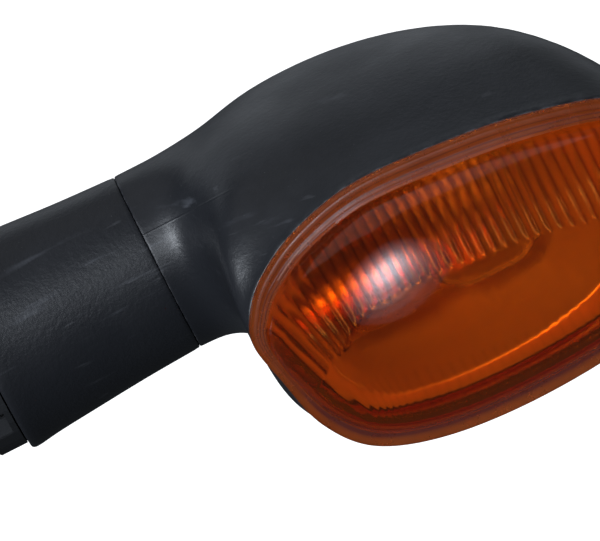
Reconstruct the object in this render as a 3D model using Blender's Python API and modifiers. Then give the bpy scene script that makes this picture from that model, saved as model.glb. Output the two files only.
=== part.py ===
"""Turn signal indicator for a motorcycle, on a flexible rubber arm, with an amber lens.

Frame: the arm's mounting face is at the origin, +X runs outwards along the arm, the lens faces -Y
and +Z is up. Sizes are named in millimetres and are scaled to metres where a mesh is made.
"Forward" is the distance in front of the arm's axis, which is -Y.
"""

import math

import bmesh
import bpy
from mathutils import Vector

MM = 0.001
GAP = 0.3

# Driving dimensions of the arm, all measured from the mounting face
SLEEVE_START = 6.0
SLEEVE_END = 40.7
NECK_START = 41.0
FLEX_X = 23.5
SLEEVE_BORE = (13.0, 11.0)
# distance along the arm, half height and half depth of the sleeve's oval
SLEEVE_OVALS = [
    (SLEEVE_START, 19.6, 16.6),
    (7.2, 20.0, 17.0),
    (12.0, 19.4, 16.5),
    (20.0, 18.7, 16.0),
    (30.0, 17.9, 15.4),
    (SLEEVE_END, 17.3, 15.0),
]

FOOT_OVAL = (18.6, 15.6)
PLUG_OVAL = (12.7, 10.7)
FOOT_PLATE = SLEEVE_START - GAP
FOOT_SPIGOT_END = 16.0
INSERT_Z = 7.2
CABLE_Z = -6.5
RECESS_ANGLE = math.radians(-30)

# Driving dimensions of the head: the lens's outline, as (outwards from the neck's start, up)
RIM_FORWARD = 40.0
RIM_OUTLINE = [
    (8.8, -6.0), (10.6, -0.9), (15.2, 4.4), (24.0, 9.4), (37.0, 12.5), (55.0, 11.6),
    (70.0, 9.2), (84.0, 4.6), (91.4, -4.0), (92.9, -12.0), (91.0, -22.0), (84.0, -31.5),
    (70.0, -37.4), (51.0, -39.3), (33.0, -38.0), (20.0, -33.4), (13.2, -25.0), (10.3, -14.0),
]
WALL = 1.8
SEAT_INSET = 2.8
RING_POINTS = 36

# The housing is swept round a vertical line where the neck's plane meets the rim's plane. Each section has
# its angle, nearest and farthest reach, bottom, top, share of the lens's outline, and squareness
HOUSING_SECTIONS = [
    (0, 25.0, 55.0, -17.3, 17.3, 0.0, 2.0),
    (10, 24.6, 56.0, -17.5, 17.3, 0.0, 2.1),
    (20, 22.2, 61.5, -19.4, 17.5, 0.0, 2.4),
    (30, 18.2, 70.3, -23.8, 19.0, 0.0, 2.7),
    (40, 14.6, 78.2, -28.0, 19.5, 0.0, 2.9),
    (50, 12.0, 84.0, -31.2, 19.0, 0.05, 3.2),
    (60, 10.4, 88.0, -33.8, 18.0, 0.15, 3.3),
    (70, 9.4, 90.2, -36.0, 16.4, 0.35, 3.2),
    (80, 8.9, 91.8, -37.8, 14.4, 0.65, 2.9),
    (90, 8.8, 92.9, -39.3, 12.5, 1.0, 2.5),
]

BULKHEAD = (45.0, 47.0)
NECK_SCREW_Z = 9.0
RIB_SPOTS = (35.0, 62.0)
RIB_WIDTH = 1.8

# The lens
FLANGE_THICKNESS = 2.3
DOME_HEIGHT = 11.0
DOME_SQUARENESS = 2.5
BORDER_SIDE = 1.8
BORDER_TOP = 4.0
LENS_WALL = 2.2
LENS_SCREW_X = NECK_START + 82.0
LENS_SCREW_Z = -13.0

# The reflector's bowl: forward, nearest and farthest reach from the neck's start, bottom and top
REFLECTOR_FRONT = 36.0
BOWL_LEVELS = [
    (REFLECTOR_FRONT, 17.0, 76.5, -31.5, 4.7),
    (30.0, 19.0, 74.0, -31.0, 4.2),
    (20.0, 20.5, 68.0, -29.0, 2.4),
    (12.0, 24.0, 61.0, -25.5, -0.4),
    (9.0, 30.0, 55.0, -19.5, -5.5),
]
REFLECTOR_SHEET = 0.9

# The lamp: its axis is level and runs outwards
LAMP_FORWARD = 22.0
LAMP_Z = -12.0
PLATE_X = 55.5
SHELL_START = 57.0
SHELL_END = 78.0
SHELL_OUTER = 9.0
SHELL_INNER = 8.1
BAYONET_X = 75.4
PUSH_TRAVEL = 1.8
TURN_ANGLE = math.radians(25)
WIRE_RADIUS = 0.85

CYLINDER_SIDES = 24


def clear_scene():
    for obj in list(bpy.data.objects):
        bpy.data.objects.remove(obj, do_unlink=True)


clear_scene()
parts = bpy.data.collections.new("turn_signal_indicator")
cutters = bpy.data.collections.new("cutters")
bpy.context.scene.collection.children.link(parts)
bpy.context.scene.collection.children.link(cutters)


def finish(name, colour, roughness, metallic=0.0, alpha=1.0):
    """A Principled material."""
    material = bpy.data.materials.new(name)
    material.use_nodes = True
    shader = material.node_tree.nodes["Principled BSDF"]
    shader.inputs["Base Color"].default_value = (*colour, 1.0)
    shader.inputs["Roughness"].default_value = roughness
    shader.inputs["Metallic"].default_value = metallic
    shader.inputs["Alpha"].default_value = alpha
    return material


BLACK_PLASTIC = finish("black_plastic", (0.018, 0.019, 0.022), 0.42)
BLACK_RUBBER = finish("black_rubber", (0.016, 0.017, 0.020), 0.6)
SEAL_RUBBER = finish("seal_rubber", (0.03, 0.03, 0.03), 0.8)
AMBER = finish("amber_lens", (0.85, 0.22, 0.01), 0.12, alpha=0.75)
SILVERED = finish("silvered_plastic", (0.85, 0.85, 0.86), 0.12, 1.0)
BRASS = finish("brass", (0.72, 0.52, 0.22), 0.3, 1.0)
STEEL = finish("zinc_plated_steel", (0.62, 0.62, 0.60), 0.35, 1.0)
CLEAR_GLASS = finish("clear_glass", (0.95, 0.97, 0.97), 0.03, alpha=0.3)
BLACK_GLASS = finish("black_glass", (0.02, 0.02, 0.025), 0.15)
PHENOLIC = finish("phenolic_board", (0.30, 0.15, 0.06), 0.6)
LEAD_COVER = finish("lead_cover", (0.25, 0.06, 0.05), 0.5)
EARTH_COVER = finish("earth_cover", (0.10, 0.06, 0.04), 0.5)
TUNGSTEN = finish("tungsten", (0.30, 0.30, 0.32), 0.4, 1.0)
SOLDER = finish("solder", (0.60, 0.60, 0.62), 0.35, 1.0)


def point(outwards, forward, up):
    """A place in metres, from millimetres outwards along the arm, forward of it and up."""
    return Vector((outwards, -forward, up)) * MM


# --- outlines -----------------------------------------------------------------------------------


def smooth_through(points, per_span, closed=True):
    """A Catmull-Rom curve through the points, as a list of vectors."""
    count = len(points)
    spans = count if closed else count - 1
    found = []
    for span in range(spans):
        if closed:
            before, start, end, after = (Vector(points[(span + k) % count]) for k in (-1, 0, 1, 2))
        else:
            before, start, end, after = (
                Vector(points[min(max(span + k, 0), count - 1)]) for k in (-1, 0, 1, 2)
            )
        for step in range(per_span):
            t = step / per_span
            found.append(
                0.5
                * (
                    2 * start
                    + (end - before) * t
                    + (2 * before - 5 * start + 4 * end - after) * t**2
                    + (3 * start - before - 3 * end + after) * t**3
                )
            )
    if not closed:
        found.append(Vector(points[-1]))
    return found


FINE_OUTLINE = smooth_through(RIM_OUTLINE, 12)
RIM_LOW = Vector((min(p.x for p in FINE_OUTLINE), min(p.y for p in FINE_OUTLINE)))
RIM_HIGH = Vector((max(p.x for p in FINE_OUTLINE), max(p.y for p in FINE_OUTLINE)))
RIM_CENTRE = (RIM_LOW + RIM_HIGH) / 2
RIM_HALF = (RIM_HIGH - RIM_LOW) / 2
RING_ANGLES = [math.tau * k / RING_POINTS for k in range(RING_POINTS)]


def rim_reach(angle):
    """How far the lens's outline lies from its centre at this angle, when its box is made 2 by 2."""
    direction = Vector((math.cos(angle), math.sin(angle)))
    across = Vector((-direction.y, direction.x))
    flat = [
        Vector(((p.x - RIM_CENTRE.x) / RIM_HALF.x, (p.y - RIM_CENTRE.y) / RIM_HALF.y))
        for p in FINE_OUTLINE
    ]
    for start, end in zip(flat, flat[1:] + flat[:1]):
        side_start = start.dot(across)
        side_end = end.dot(across)
        if (side_start <= 0) != (side_end <= 0) and start.dot(direction) > 0:
            return start.lerp(end, side_start / (side_start - side_end)).dot(direction)
    raise ValueError("the outline doesn't surround its centre")


RIM_REACHES = [rim_reach(angle) for angle in RING_ANGLES]


def rounded_reach(angle, squareness):
    """The same for a superellipse: 2 is an ellipse, and more is squarer."""
    parts_sum = abs(math.cos(angle)) ** squareness + abs(math.sin(angle)) ** squareness
    return parts_sum ** (-1 / squareness)


def boxed_ring(low, high, share=1.0, squareness=2.0):
    """A ring of (outwards, up) pairs that fills the box, part rounded and part lens-shaped."""
    ring = []
    for angle, rim in zip(RING_ANGLES, RIM_REACHES):
        reach = share * rim + (1 - share) * rounded_reach(angle, squareness)
        ring.append(
            (
                (low[0] + high[0]) / 2 + (high[0] - low[0]) / 2 * reach * math.cos(angle),
                (low[1] + high[1]) / 2 + (high[1] - low[1]) / 2 * reach * math.sin(angle),
            )
        )
    return ring


RIM_RING = [Vector(p) for p in boxed_ring(RIM_LOW, RIM_HIGH)]


def inset_rim(insets):
    """The lens's outline moved inwards by one distance at each of its points."""
    ring = []
    for k, here in enumerate(RIM_RING):
        along = RIM_RING[(k + 1) % RING_POINTS] - RIM_RING[k - 1]
        inwards = Vector((-along.y, along.x)).normalized()
        ring.append(here + inwards * insets[k])
    return ring


def rim_heights(outwards):
    """The top and the bottom of the lens's outline this far from the neck's start."""
    near = [p.y for p in FINE_OUTLINE if abs(p.x - outwards) < 1.5]
    return max(near), min(near)


def rim_at(inset, forward):
    """The inset outline as a ring of places."""
    return [point(NECK_START + p.x, forward, p.y) for p in inset_rim([inset] * RING_POINTS)]


def oval_at(x, half_height, half_depth):
    """An oval ring across the arm."""
    return [point(x, half_depth * math.cos(a), half_height * math.sin(a)) for a in RING_ANGLES]


# --- meshes -------------------------------------------------------------------------------------


def add_object(name, mesh_source, material, collection=None):
    """An object from a bmesh, in the parts' collection unless another is given."""
    mesh = bpy.data.meshes.new(name)
    mesh_source.to_mesh(mesh)
    mesh_source.free()
    if material:
        mesh.materials.append(material)
    mesh.shade_smooth()
    mesh.set_sharp_from_angle(angle=math.radians(35))
    obj = bpy.data.objects.new(name, mesh)
    (collection or parts).objects.link(obj)
    return obj


def loft(name, rings, material, ends="closed", collection=None):
    """Joins rings of equal count. Ends are closed by faces, joined to each other, or left open."""
    shape = bmesh.new()
    loops = [[shape.verts.new(place) for place in ring] for ring in rings]
    pairs = list(zip(loops, loops[1:]))
    if ends == "joined":
        pairs.append((loops[-1], loops[0]))
    for one, two in pairs:
        for k in range(len(one)):
            after = (k + 1) % len(one)
            shape.faces.new((one[k], one[after], two[after], two[k]))
    if ends in ("closed", "last"):
        shape.faces.new(loops[-1])
    if ends == "closed":
        shape.faces.new(loops[0])
    bmesh.ops.recalc_face_normals(shape, faces=shape.faces)
    return add_object(name, shape, material, collection)


AXIS_TURNS = {
    "outwards": (0.0, math.pi / 2, 0.0),
    "forward": (math.pi / 2, 0.0, 0.0),
    "up": (0.0, 0.0, 0.0),
}


def turned(name, profile, place, direction, material, closed=False, collection=None, sides=CYLINDER_SIDES):
    """A profile of (radius, distance along the axis) turned round an axis through the place."""
    area = sum(a[0] * b[1] - b[0] * a[1] for a, b in zip(profile, profile[1:] + profile[:1]))
    if area > 0:
        profile = profile[::-1]
    shape = bmesh.new()
    corners = [shape.verts.new((radius * MM, 0, along * MM)) for radius, along in profile]
    for one, two in zip(corners, corners[1:]):
        shape.edges.new((one, two))
    if closed:
        shape.edges.new((corners[-1], corners[0]))
    obj = add_object(name, shape, material, collection)
    obj.location = place
    obj.rotation_euler = AXIS_TURNS[direction]
    screw = obj.modifiers.new("turn", "SCREW")
    screw.axis = "Z"
    screw.angle = math.tau
    screw.screw_offset = 0
    screw.steps = sides
    screw.render_steps = sides
    screw.use_smooth_shade = True
    screw.use_merge_vertices = True
    screw.merge_threshold = 0.00001
    return obj


def rod(name, radius, start, end, place, direction, material, collection=None, sides=CYLINDER_SIDES):
    """A plain solid cylinder between two distances along its axis."""
    profile = [(0, end), (radius, end), (radius, start), (0, start)]
    return turned(name, profile, place, direction, material, collection=collection, sides=sides)


def tube(name, inner, outer, start, end, place, direction, material):
    """A plain hollow cylinder."""
    profile = [(outer, end), (outer, start), (inner, start), (inner, end)]
    return turned(name, profile, place, direction, material, closed=True)


def block(name, low, high, collection=None, material=None):
    """A box between two corners given as (outwards, forward, up)."""
    size = Vector(high) - Vector(low)
    middle = (Vector(high) + Vector(low)) / 2
    shape = bmesh.new()
    bmesh.ops.create_cube(shape, size=1.0)
    bmesh.ops.scale(shape, verts=shape.verts, vec=size * MM)
    bmesh.ops.translate(shape, verts=shape.verts, vec=point(*middle))
    return add_object(name, shape, material, collection)


def wire(name, places, radius, material, resolution=2):
    """A round wire along the places, with closed ends."""
    curve = bpy.data.curves.new(name, "CURVE")
    curve.dimensions = "3D"
    curve.bevel_depth = radius * MM
    curve.bevel_resolution = resolution
    curve.use_fill_caps = True
    spline = curve.splines.new("POLY")
    spline.points.add(len(places) - 1)
    for slot, place in zip(spline.points, places):
        slot.co = (*place, 1.0)
    curve.materials.append(material)
    obj = bpy.data.objects.new(name, curve)
    parts.objects.link(obj)
    return obj


def as_cutter(obj):
    obj.hide_render = True
    obj.display_type = "WIRE"
    return obj


def combine(target, other, operation):
    """Cuts the other shape from the target, or joins it on."""
    modifier = target.modifiers.new(other.name, "BOOLEAN")
    modifier.operation = operation
    modifier.object = as_cutter(other)


def drill(target, radius, start, end, place, direction, sides=CYLINDER_SIDES):
    """A round hole between two distances along an axis."""
    name = f"{target.name}_hole_{len(cutters.objects)}"
    cutter = rod(name, radius, start, end, place, direction, None, cutters, sides)
    combine(target, cutter, "DIFFERENCE")


# --- bodies -------------------------------------------------------------------------------------


def body_origin(name, place, parent=None):
    """An empty on a joint's axis. It carries the pieces that move together."""
    empty = bpy.data.objects.new(name, None)
    empty.empty_display_size = 0.01
    parts.objects.link(empty)
    empty.location = place
    if parent:
        empty.parent = parent
        empty.location -= world_place(parent)
    return empty


def world_place(obj):
    """Where an unturned empty is, through its parents."""
    place = obj.location.copy()
    while obj.parent:
        obj = obj.parent
        place += obj.location
    return place


def carry(body, *objects):
    for obj in objects:
        obj.location -= world_place(body)
        obj.parent = body


# --- the arm ------------------------------------------------------------------------------------

ARM_AXIS = point(0, 0, 0)
INSERT_AXIS = point(0, 0, INSERT_Z)
CABLE_AXIS = point(0, 0, CABLE_Z)
LAMP_AXIS = point(0, LAMP_FORWARD, LAMP_Z)


def make_mounting_foot():
    """A rigid plug in the arm's base, with a keyed notch, a screw bore and a cable bore."""
    chamfer = 0.6
    foot = loft(
        "mounting_foot",
        [
            oval_at(0, FOOT_OVAL[0] - chamfer, FOOT_OVAL[1] - chamfer),
            oval_at(chamfer, *FOOT_OVAL),
            oval_at(FOOT_PLATE, *FOOT_OVAL),
            oval_at(FOOT_PLATE, *PLUG_OVAL),
            oval_at(FOOT_SPIGOT_END, *PLUG_OVAL),
        ],
        BLACK_PLASTIC,
    )
    notch_depth = 2.4
    notch_half_width = 2.6
    middle = (FOOT_OVAL[1] * math.cos(RECESS_ANGLE), FOOT_OVAL[0] * math.sin(RECESS_ANGLE))
    notch = block(
        "mounting_foot_notch",
        (-1.0, middle[0] - notch_depth, middle[1] - notch_half_width),
        (4.6, middle[0] + 4.0, middle[1] + notch_half_width),
        cutters,
    )
    combine(foot, notch, "DIFFERENCE")
    drill(foot, 4.3, -1.0, 11.0, INSERT_AXIS, "outwards")
    drill(foot, 3.6, -1.0, FOOT_SPIGOT_END + 1, CABLE_AXIS, "outwards")
    return foot


def make_threaded_insert():
    """A brass insert with a plain bore of the thread's core size and a flange at its blind end."""
    profile = [
        (4.0, 0.3), (4.0, 4.6), (3.6, 4.9), (3.6, 5.9), (4.0, 6.2), (4.0, 10.6), (2.55, 10.6), (2.55, 0.3),
    ]
    return turned("threaded_insert", profile, INSERT_AXIS, "outwards", BRASS, closed=True)


def make_cable_grommet():
    profile = [(3.3, 0.5), (3.3, 6.0), (2.9, 7.0), (2.4, 7.0), (2.4, 1.0), (2.8, 0.5)]
    return turned("cable_grommet", profile, CABLE_AXIS, "outwards", SEAL_RUBBER, closed=True)


def make_rubber_arm():
    """The hollow sleeve that bends, with a small flared lip at its base."""
    outer = [oval_at(*oval) for oval in SLEEVE_OVALS]
    inner = [oval_at(x, *SLEEVE_BORE) for x in (SLEEVE_END, 32.0, FLEX_X, 15.0, SLEEVE_START)]
    return loft("rubber_arm", outer + inner, BLACK_RUBBER, ends="joined")


def make_leads():
    """The live and earth leads, from the grommet through the arm to the lamp's bracket and contact."""
    beside = 1.15
    shared = [(1.0, CABLE_Z), (12.0, CABLE_Z), (17.0, -5.6), (FLEX_X, -3.6), (32.0, -0.9), (40.0, 0.0)]
    live_route = [point(x, beside, z) for x, z in shared] + [
        point(47.0, 1.3, 0.3),
        point(50.5, 3.8, 1.2),
        point(52.6, 9.0, 0.6),
        point(53.2, 14.5, -1.8),
        point(53.3, 18.8, -5.6),
        point(53.4, 21.2, -9.3),
    ]
    earth_route = [point(x, -beside, z) for x, z in shared] + [
        point(47.5, -1.6, 0.0),
        point(51.8, -3.8, -1.6),
        point(52.3, -6.3, -4.8),
        point(50.9, -7.2, -9.2),
    ]
    return (
        wire("live_lead", smooth_through(live_route, 3, closed=False), WIRE_RADIUS, LEAD_COVER),
        wire("earth_lead", smooth_through(earth_route, 3, closed=False), WIRE_RADIUS, EARTH_COVER),
    )


# --- the head's fixed pieces --------------------------------------------------------------------


def swept_section(section, inset, rim_forward):
    """One housing section, inset all round, in its own upright plane through the fold line."""
    degrees, near, far, bottom, top, share, squareness = section
    angle = math.radians(degrees)
    ring = boxed_ring((near + inset, bottom + inset), (far - inset, top - inset), share, squareness)
    return [
        point(NECK_START + reach * math.sin(angle), rim_forward - reach * math.cos(angle), up)
        for reach, up in ring
    ]


def make_housing():
    """The black shell: a neck that opens into a bowl, with a bulkhead, ribs and a screw post inside."""
    rim_forward = RIM_FORWARD - GAP
    outer = [swept_section(section, 0, rim_forward) for section in HOUSING_SECTIONS]
    inner = [swept_section(section, WALL, rim_forward) for section in reversed(HOUSING_SECTIONS)]
    housing = loft("housing", outer + inner, BLACK_PLASTIC, ends="joined")

    bulkhead = loft(
        "housing_bulkhead", [oval_at(x, 16.3, 14.0) for x in BULKHEAD], None, collection=cutters
    )
    combine(housing, bulkhead, "UNION")
    post_axis = point(LENS_SCREW_X, 0, LENS_SCREW_Z)
    combine(housing, rod("housing_post", 3.1, 12.0, 38.0, post_axis, "forward", None, cutters), "UNION")
    for index, spot in enumerate(RIB_SPOTS):
        left = NECK_START + spot - RIB_WIDTH / 2
        top, bottom = rim_heights(spot)
        for side, low, high in (("upper", top - 5.5, top + 0.5), ("lower", bottom + 2.2, bottom + 5.5)):
            rib = block(
                f"housing_rib_{side}_{index}",
                (left, 30.0, low),
                (left + RIB_WIDTH, REFLECTOR_FRONT - REFLECTOR_SHEET - GAP, high),
                cutters,
            )
            combine(housing, rib, "UNION")
    drill(housing, 4.5, BULKHEAD[0] - 1, BULKHEAD[1] + 1, ARM_AXIS, "outwards")
    for side in (1, -1):
        screw_axis = point(0, 0, side * NECK_SCREW_Z)
        drill(housing, 1.9, BULKHEAD[0] - 1, BULKHEAD[1] + 1, screw_axis, "outwards", 16)
    drill(housing, 1.8, 24.0, 39.0, post_axis, "forward", 16)
    return housing


def make_neck_plug():
    """The plug that the sleeve's outer end grips, with a flange inside the housing's neck."""
    plug = loft(
        "neck_plug",
        [
            oval_at(31.0, PLUG_OVAL[0] - 0.6, PLUG_OVAL[1] - 0.6),
            oval_at(31.6, *PLUG_OVAL),
            oval_at(NECK_START + GAP, *PLUG_OVAL),
            oval_at(NECK_START + GAP, 14.6, 12.3),
            oval_at(BULKHEAD[0] - GAP, 14.6, 12.3),
        ],
        BLACK_PLASTIC,
    )
    drill(plug, 4.2, 30.0, 46.0, ARM_AXIS, "outwards")
    for side in (1, -1):
        drill(plug, 1.8, 33.5, 46.0, point(0, 0, side * NECK_SCREW_Z), "outwards", 16)
    return plug


def pan_screw(name, place, direction, head_start, shank_length, towards=1):
    """A pan-head screw. The head stands beyond head_start, on the side that towards says."""
    head_radius = 2.9
    head_height = 1.9
    shank_radius = 1.5
    profile = [
        (0, head_start + towards * head_height),
        (1.6, head_start + towards * head_height),
        (2.5, head_start + towards * (head_height - 0.4)),
        (head_radius, head_start + towards * 0.7),
        (head_radius, head_start),
        (shank_radius, head_start),
        (shank_radius, head_start - towards * (shank_length - 1)),
        (0.7, head_start - towards * shank_length),
        (0, head_start - towards * shank_length),
    ]
    return turned(name, profile, place, direction, STEEL, sides=20)


def make_neck_screws():
    upper = pan_screw("neck_screw_upper", point(0, 0, NECK_SCREW_Z), "outwards", BULKHEAD[1] + GAP, 12.0)
    lower = pan_screw("neck_screw_lower", point(0, 0, -NECK_SCREW_Z), "outwards", 49.9, 14.0)
    return upper, lower


def make_lamp_bracket():
    """A joggled steel strip from the lower neck screw to the round plate at the back of the lamp holder."""
    sheet = 1.2
    foot_x = BULKHEAD[1] + GAP
    strip = [
        (foot_x, -5.5),
        (foot_x, 5.0),
        (PLATE_X, 14.5),
        (PLATE_X, LAMP_FORWARD),
        (PLATE_X + sheet, LAMP_FORWARD),
        (PLATE_X + sheet, 14.0),
        (foot_x + sheet, 4.4),
        (foot_x + sheet, -5.5),
    ]
    bracket = loft(
        "lamp_bracket",
        [[point(x, forward, up) for x, forward in strip] for up in (-12.6, -5.2)],
        STEEL,
    )
    plate = rod("lamp_bracket_plate", 7.8, PLATE_X, PLATE_X + sheet, LAMP_AXIS, "outwards", None, cutters)
    combine(bracket, plate, "UNION")
    drill(bracket, 1.9, 46.0, 50.0, point(0, 0, -NECK_SCREW_Z), "outwards", 16)
    drill(bracket, 2.2, PLATE_X - 1, PLATE_X + 3, LAMP_AXIS, "outwards", 16)
    return bracket


def make_earth_terminal():
    """A ring tag under the lower neck screw, with a tail that the earth lead is soldered to."""
    start = 48.8
    end = 49.6
    tag = rod("earth_terminal", 3.3, start, end, point(0, 0, -NECK_SCREW_Z), "outwards", BRASS)
    tail = block(
        "earth_terminal_tail",
        (start, -9.0, -NECK_SCREW_Z - 1.3),
        (end, -2.5, -NECK_SCREW_Z + 1.3),
        cutters,
    )
    combine(tag, tail, "UNION")
    drill(tag, 1.8, start - 1, end + 1, point(0, 0, -NECK_SCREW_Z), "outwards", 16)
    return tag


def make_holder_shell():
    """The bayonet socket: a cup with a slot on each side for a pin to slide along, turn and seat in."""
    floor = 0.8
    profile = [
        (SHELL_OUTER, SHELL_END),
        (SHELL_OUTER, SHELL_START),
        (2.2, SHELL_START),
        (2.2, SHELL_START + floor),
        (SHELL_INNER, SHELL_START + floor),
        (SHELL_INNER, SHELL_END),
    ]
    shell = turned("holder_shell", profile, LAMP_AXIS, "outwards", BRASS, closed=True, sides=36)
    pin_room = 1.35
    seat_low = BAYONET_X - PUSH_TRAVEL - pin_room
    seat_high = BAYONET_X + pin_room
    half_slot = pin_room / SHELL_OUTER
    for side, middle in (("upper", math.pi / 2), ("lower", -math.pi / 2)):
        seat = slot_wedge(
            f"holder_seat_{side}", seat_low, seat_high, middle - TURN_ANGLE - half_slot, middle + half_slot
        )
        entry = slot_wedge(
            f"holder_entry_{side}",
            seat_low + 0.1,
            SHELL_END + 1.0,
            middle - TURN_ANGLE - half_slot - 0.02,
            middle - TURN_ANGLE + half_slot,
        )
        combine(shell, seat, "DIFFERENCE")
        combine(shell, entry, "DIFFERENCE")
    return shell


def slot_wedge(name, start, end, from_angle, to_angle):
    """A curved block across the socket's wall, between two angles from forward round to up."""
    steps = 4
    angles = [from_angle + (to_angle - from_angle) * k / steps for k in range(steps + 1)]
    arc = [(math.cos(a), math.sin(a)) for a in angles]
    low = SHELL_INNER - 1.0
    high = SHELL_OUTER + 1.2
    section = [(high * c, high * s) for c, s in arc] + [(low * c, low * s) for c, s in reversed(arc)]
    rings = [[point(x, LAMP_FORWARD + f, LAMP_Z + up) for f, up in section] for x in (start, end)]
    return loft(name, rings, None, collection=cutters)


def make_reflector():
    """A silvered bowl with a flange, a hole for the lamp holder and a notch for the screw post."""
    rings = [rim_at(SEAT_INSET, REFLECTOR_FRONT)]
    for forward, near, far, bottom, top in BOWL_LEVELS:
        rings.append(
            [point(NECK_START + x, forward, up) for x, up in boxed_ring((near, bottom), (far, top))]
        )
    bowl = loft("reflector", rings, SILVERED, ends="last")
    sheet = bowl.modifiers.new("sheet", "SOLIDIFY")
    sheet.thickness = REFLECTOR_SHEET * MM
    sheet.offset = -1.0
    drill(bowl, SHELL_OUTER + 0.7, NECK_START, NECK_START + 38, LAMP_AXIS, "outwards")
    drill(bowl, 3.8, 30.0, 40.0, point(LENS_SCREW_X, 0, LENS_SCREW_Z), "forward")
    return bowl


def make_lens_gasket():
    back = REFLECTOR_FRONT + GAP
    front = back + 1.7
    inner = SEAT_INSET + 1.6
    rings = [rim_at(SEAT_INSET, back), rim_at(SEAT_INSET, front), rim_at(inner, front), rim_at(inner, back)]
    return loft("lens_gasket", rings, SEAL_RUBBER, ends="joined")


# --- the lens -----------------------------------------------------------------------------------


def dome_rings(border, height, base_forward, angles):
    """Rings of a dome, from near its middle out to its base, which lies inside a border of the flange."""
    insets = [border + (BORDER_TOP - BORDER_SIDE) * abs(math.sin(a)) for a in RING_ANGLES]
    base = inset_rim(insets)
    rings = []
    for degrees in angles:
        angle = math.radians(degrees)
        spread = math.cos(angle) ** (2 / DOME_SQUARENESS)
        rise = math.sin(angle) ** (2 / DOME_SQUARENESS)
        ring = [RIM_CENTRE.lerp(p, spread) for p in base]
        rings.append([point(NECK_START + p.x, base_forward + height * rise, p.y) for p in ring])
    return rings


def make_lens():
    """The domed amber cover, with its flange, the skirt that seals it, and a well for its screw."""
    back = RIM_FORWARD
    face = back + FLANGE_THICKNESS
    skirt_tip = REFLECTOR_FRONT + GAP + 1.7 + GAP
    rings = dome_rings(BORDER_SIDE, DOME_HEIGHT, face, (85, 65, 46, 30, 14, 0))
    rings += [rim_at(0.8, face), rim_at(0.0, face - 0.8), rim_at(0.0, back)]
    outside = SEAT_INSET - 0.1
    inside = SEAT_INSET + 1.1
    rings += [rim_at(outside, back), rim_at(outside, skirt_tip)]
    rings += [rim_at(inside, skirt_tip), rim_at(inside, back)]
    inner_height = DOME_HEIGHT + FLANGE_THICKNESS - LENS_WALL
    rings += reversed(dome_rings(BORDER_SIDE + LENS_WALL, inner_height, back, (85, 65, 46, 26, 0)))
    lens = loft("lens", rings, AMBER)
    screw_axis = point(LENS_SCREW_X, 0, LENS_SCREW_Z)
    combine(lens, rod("lens_well", 4.8, back + 0.35, 46.3, screw_axis, "forward", None, cutters), "UNION")
    drill(lens, 3.4, 41.6, 60.0, screw_axis, "forward")
    drill(lens, 1.9, 38.0, 43.0, screw_axis, "forward", 16)
    return lens


def make_lens_screw():
    axis = point(LENS_SCREW_X, 0, LENS_SCREW_Z)
    seal = tube("screw_seal", 1.8, 2.9, 41.9, 42.7, axis, "forward", SEAL_RUBBER)
    screw = pan_screw("lens_screw", axis, "forward", 43.0, 17.0)
    return screw, seal


# --- the lamp -----------------------------------------------------------------------------------


def make_plunger():
    """The sprung contact in the socket: an insulating disc, a brass contact with its tail, and a coil."""
    disc = tube("contact_disc", 1.3, 7.6, 64.7, 66.4, LAMP_AXIS, "outwards", PHENOLIC)
    profile = [(0, 67.3), (2.0, 67.3), (2.6, 67.0), (2.6, 66.7), (0.9, 66.7), (0.9, 54.3), (0, 54.3)]
    contact = turned("centre_contact", profile, LAMP_AXIS, "outwards", BRASS, sides=16)
    turns = 3
    steps = 12
    coil_radius = 5.0
    coil_wire = 0.45
    start = 60.1
    rise = 3.85
    places = []
    for k in range(turns * steps + 1):
        angle = math.tau * k / steps
        along = start + rise * k / (turns * steps)
        forward = LAMP_FORWARD + coil_radius * math.cos(angle)
        places.append(point(along, forward, LAMP_Z + coil_radius * math.sin(angle)))
    spring = wire("contact_spring", places, coil_wire, STEEL)
    return disc, contact, spring


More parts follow.
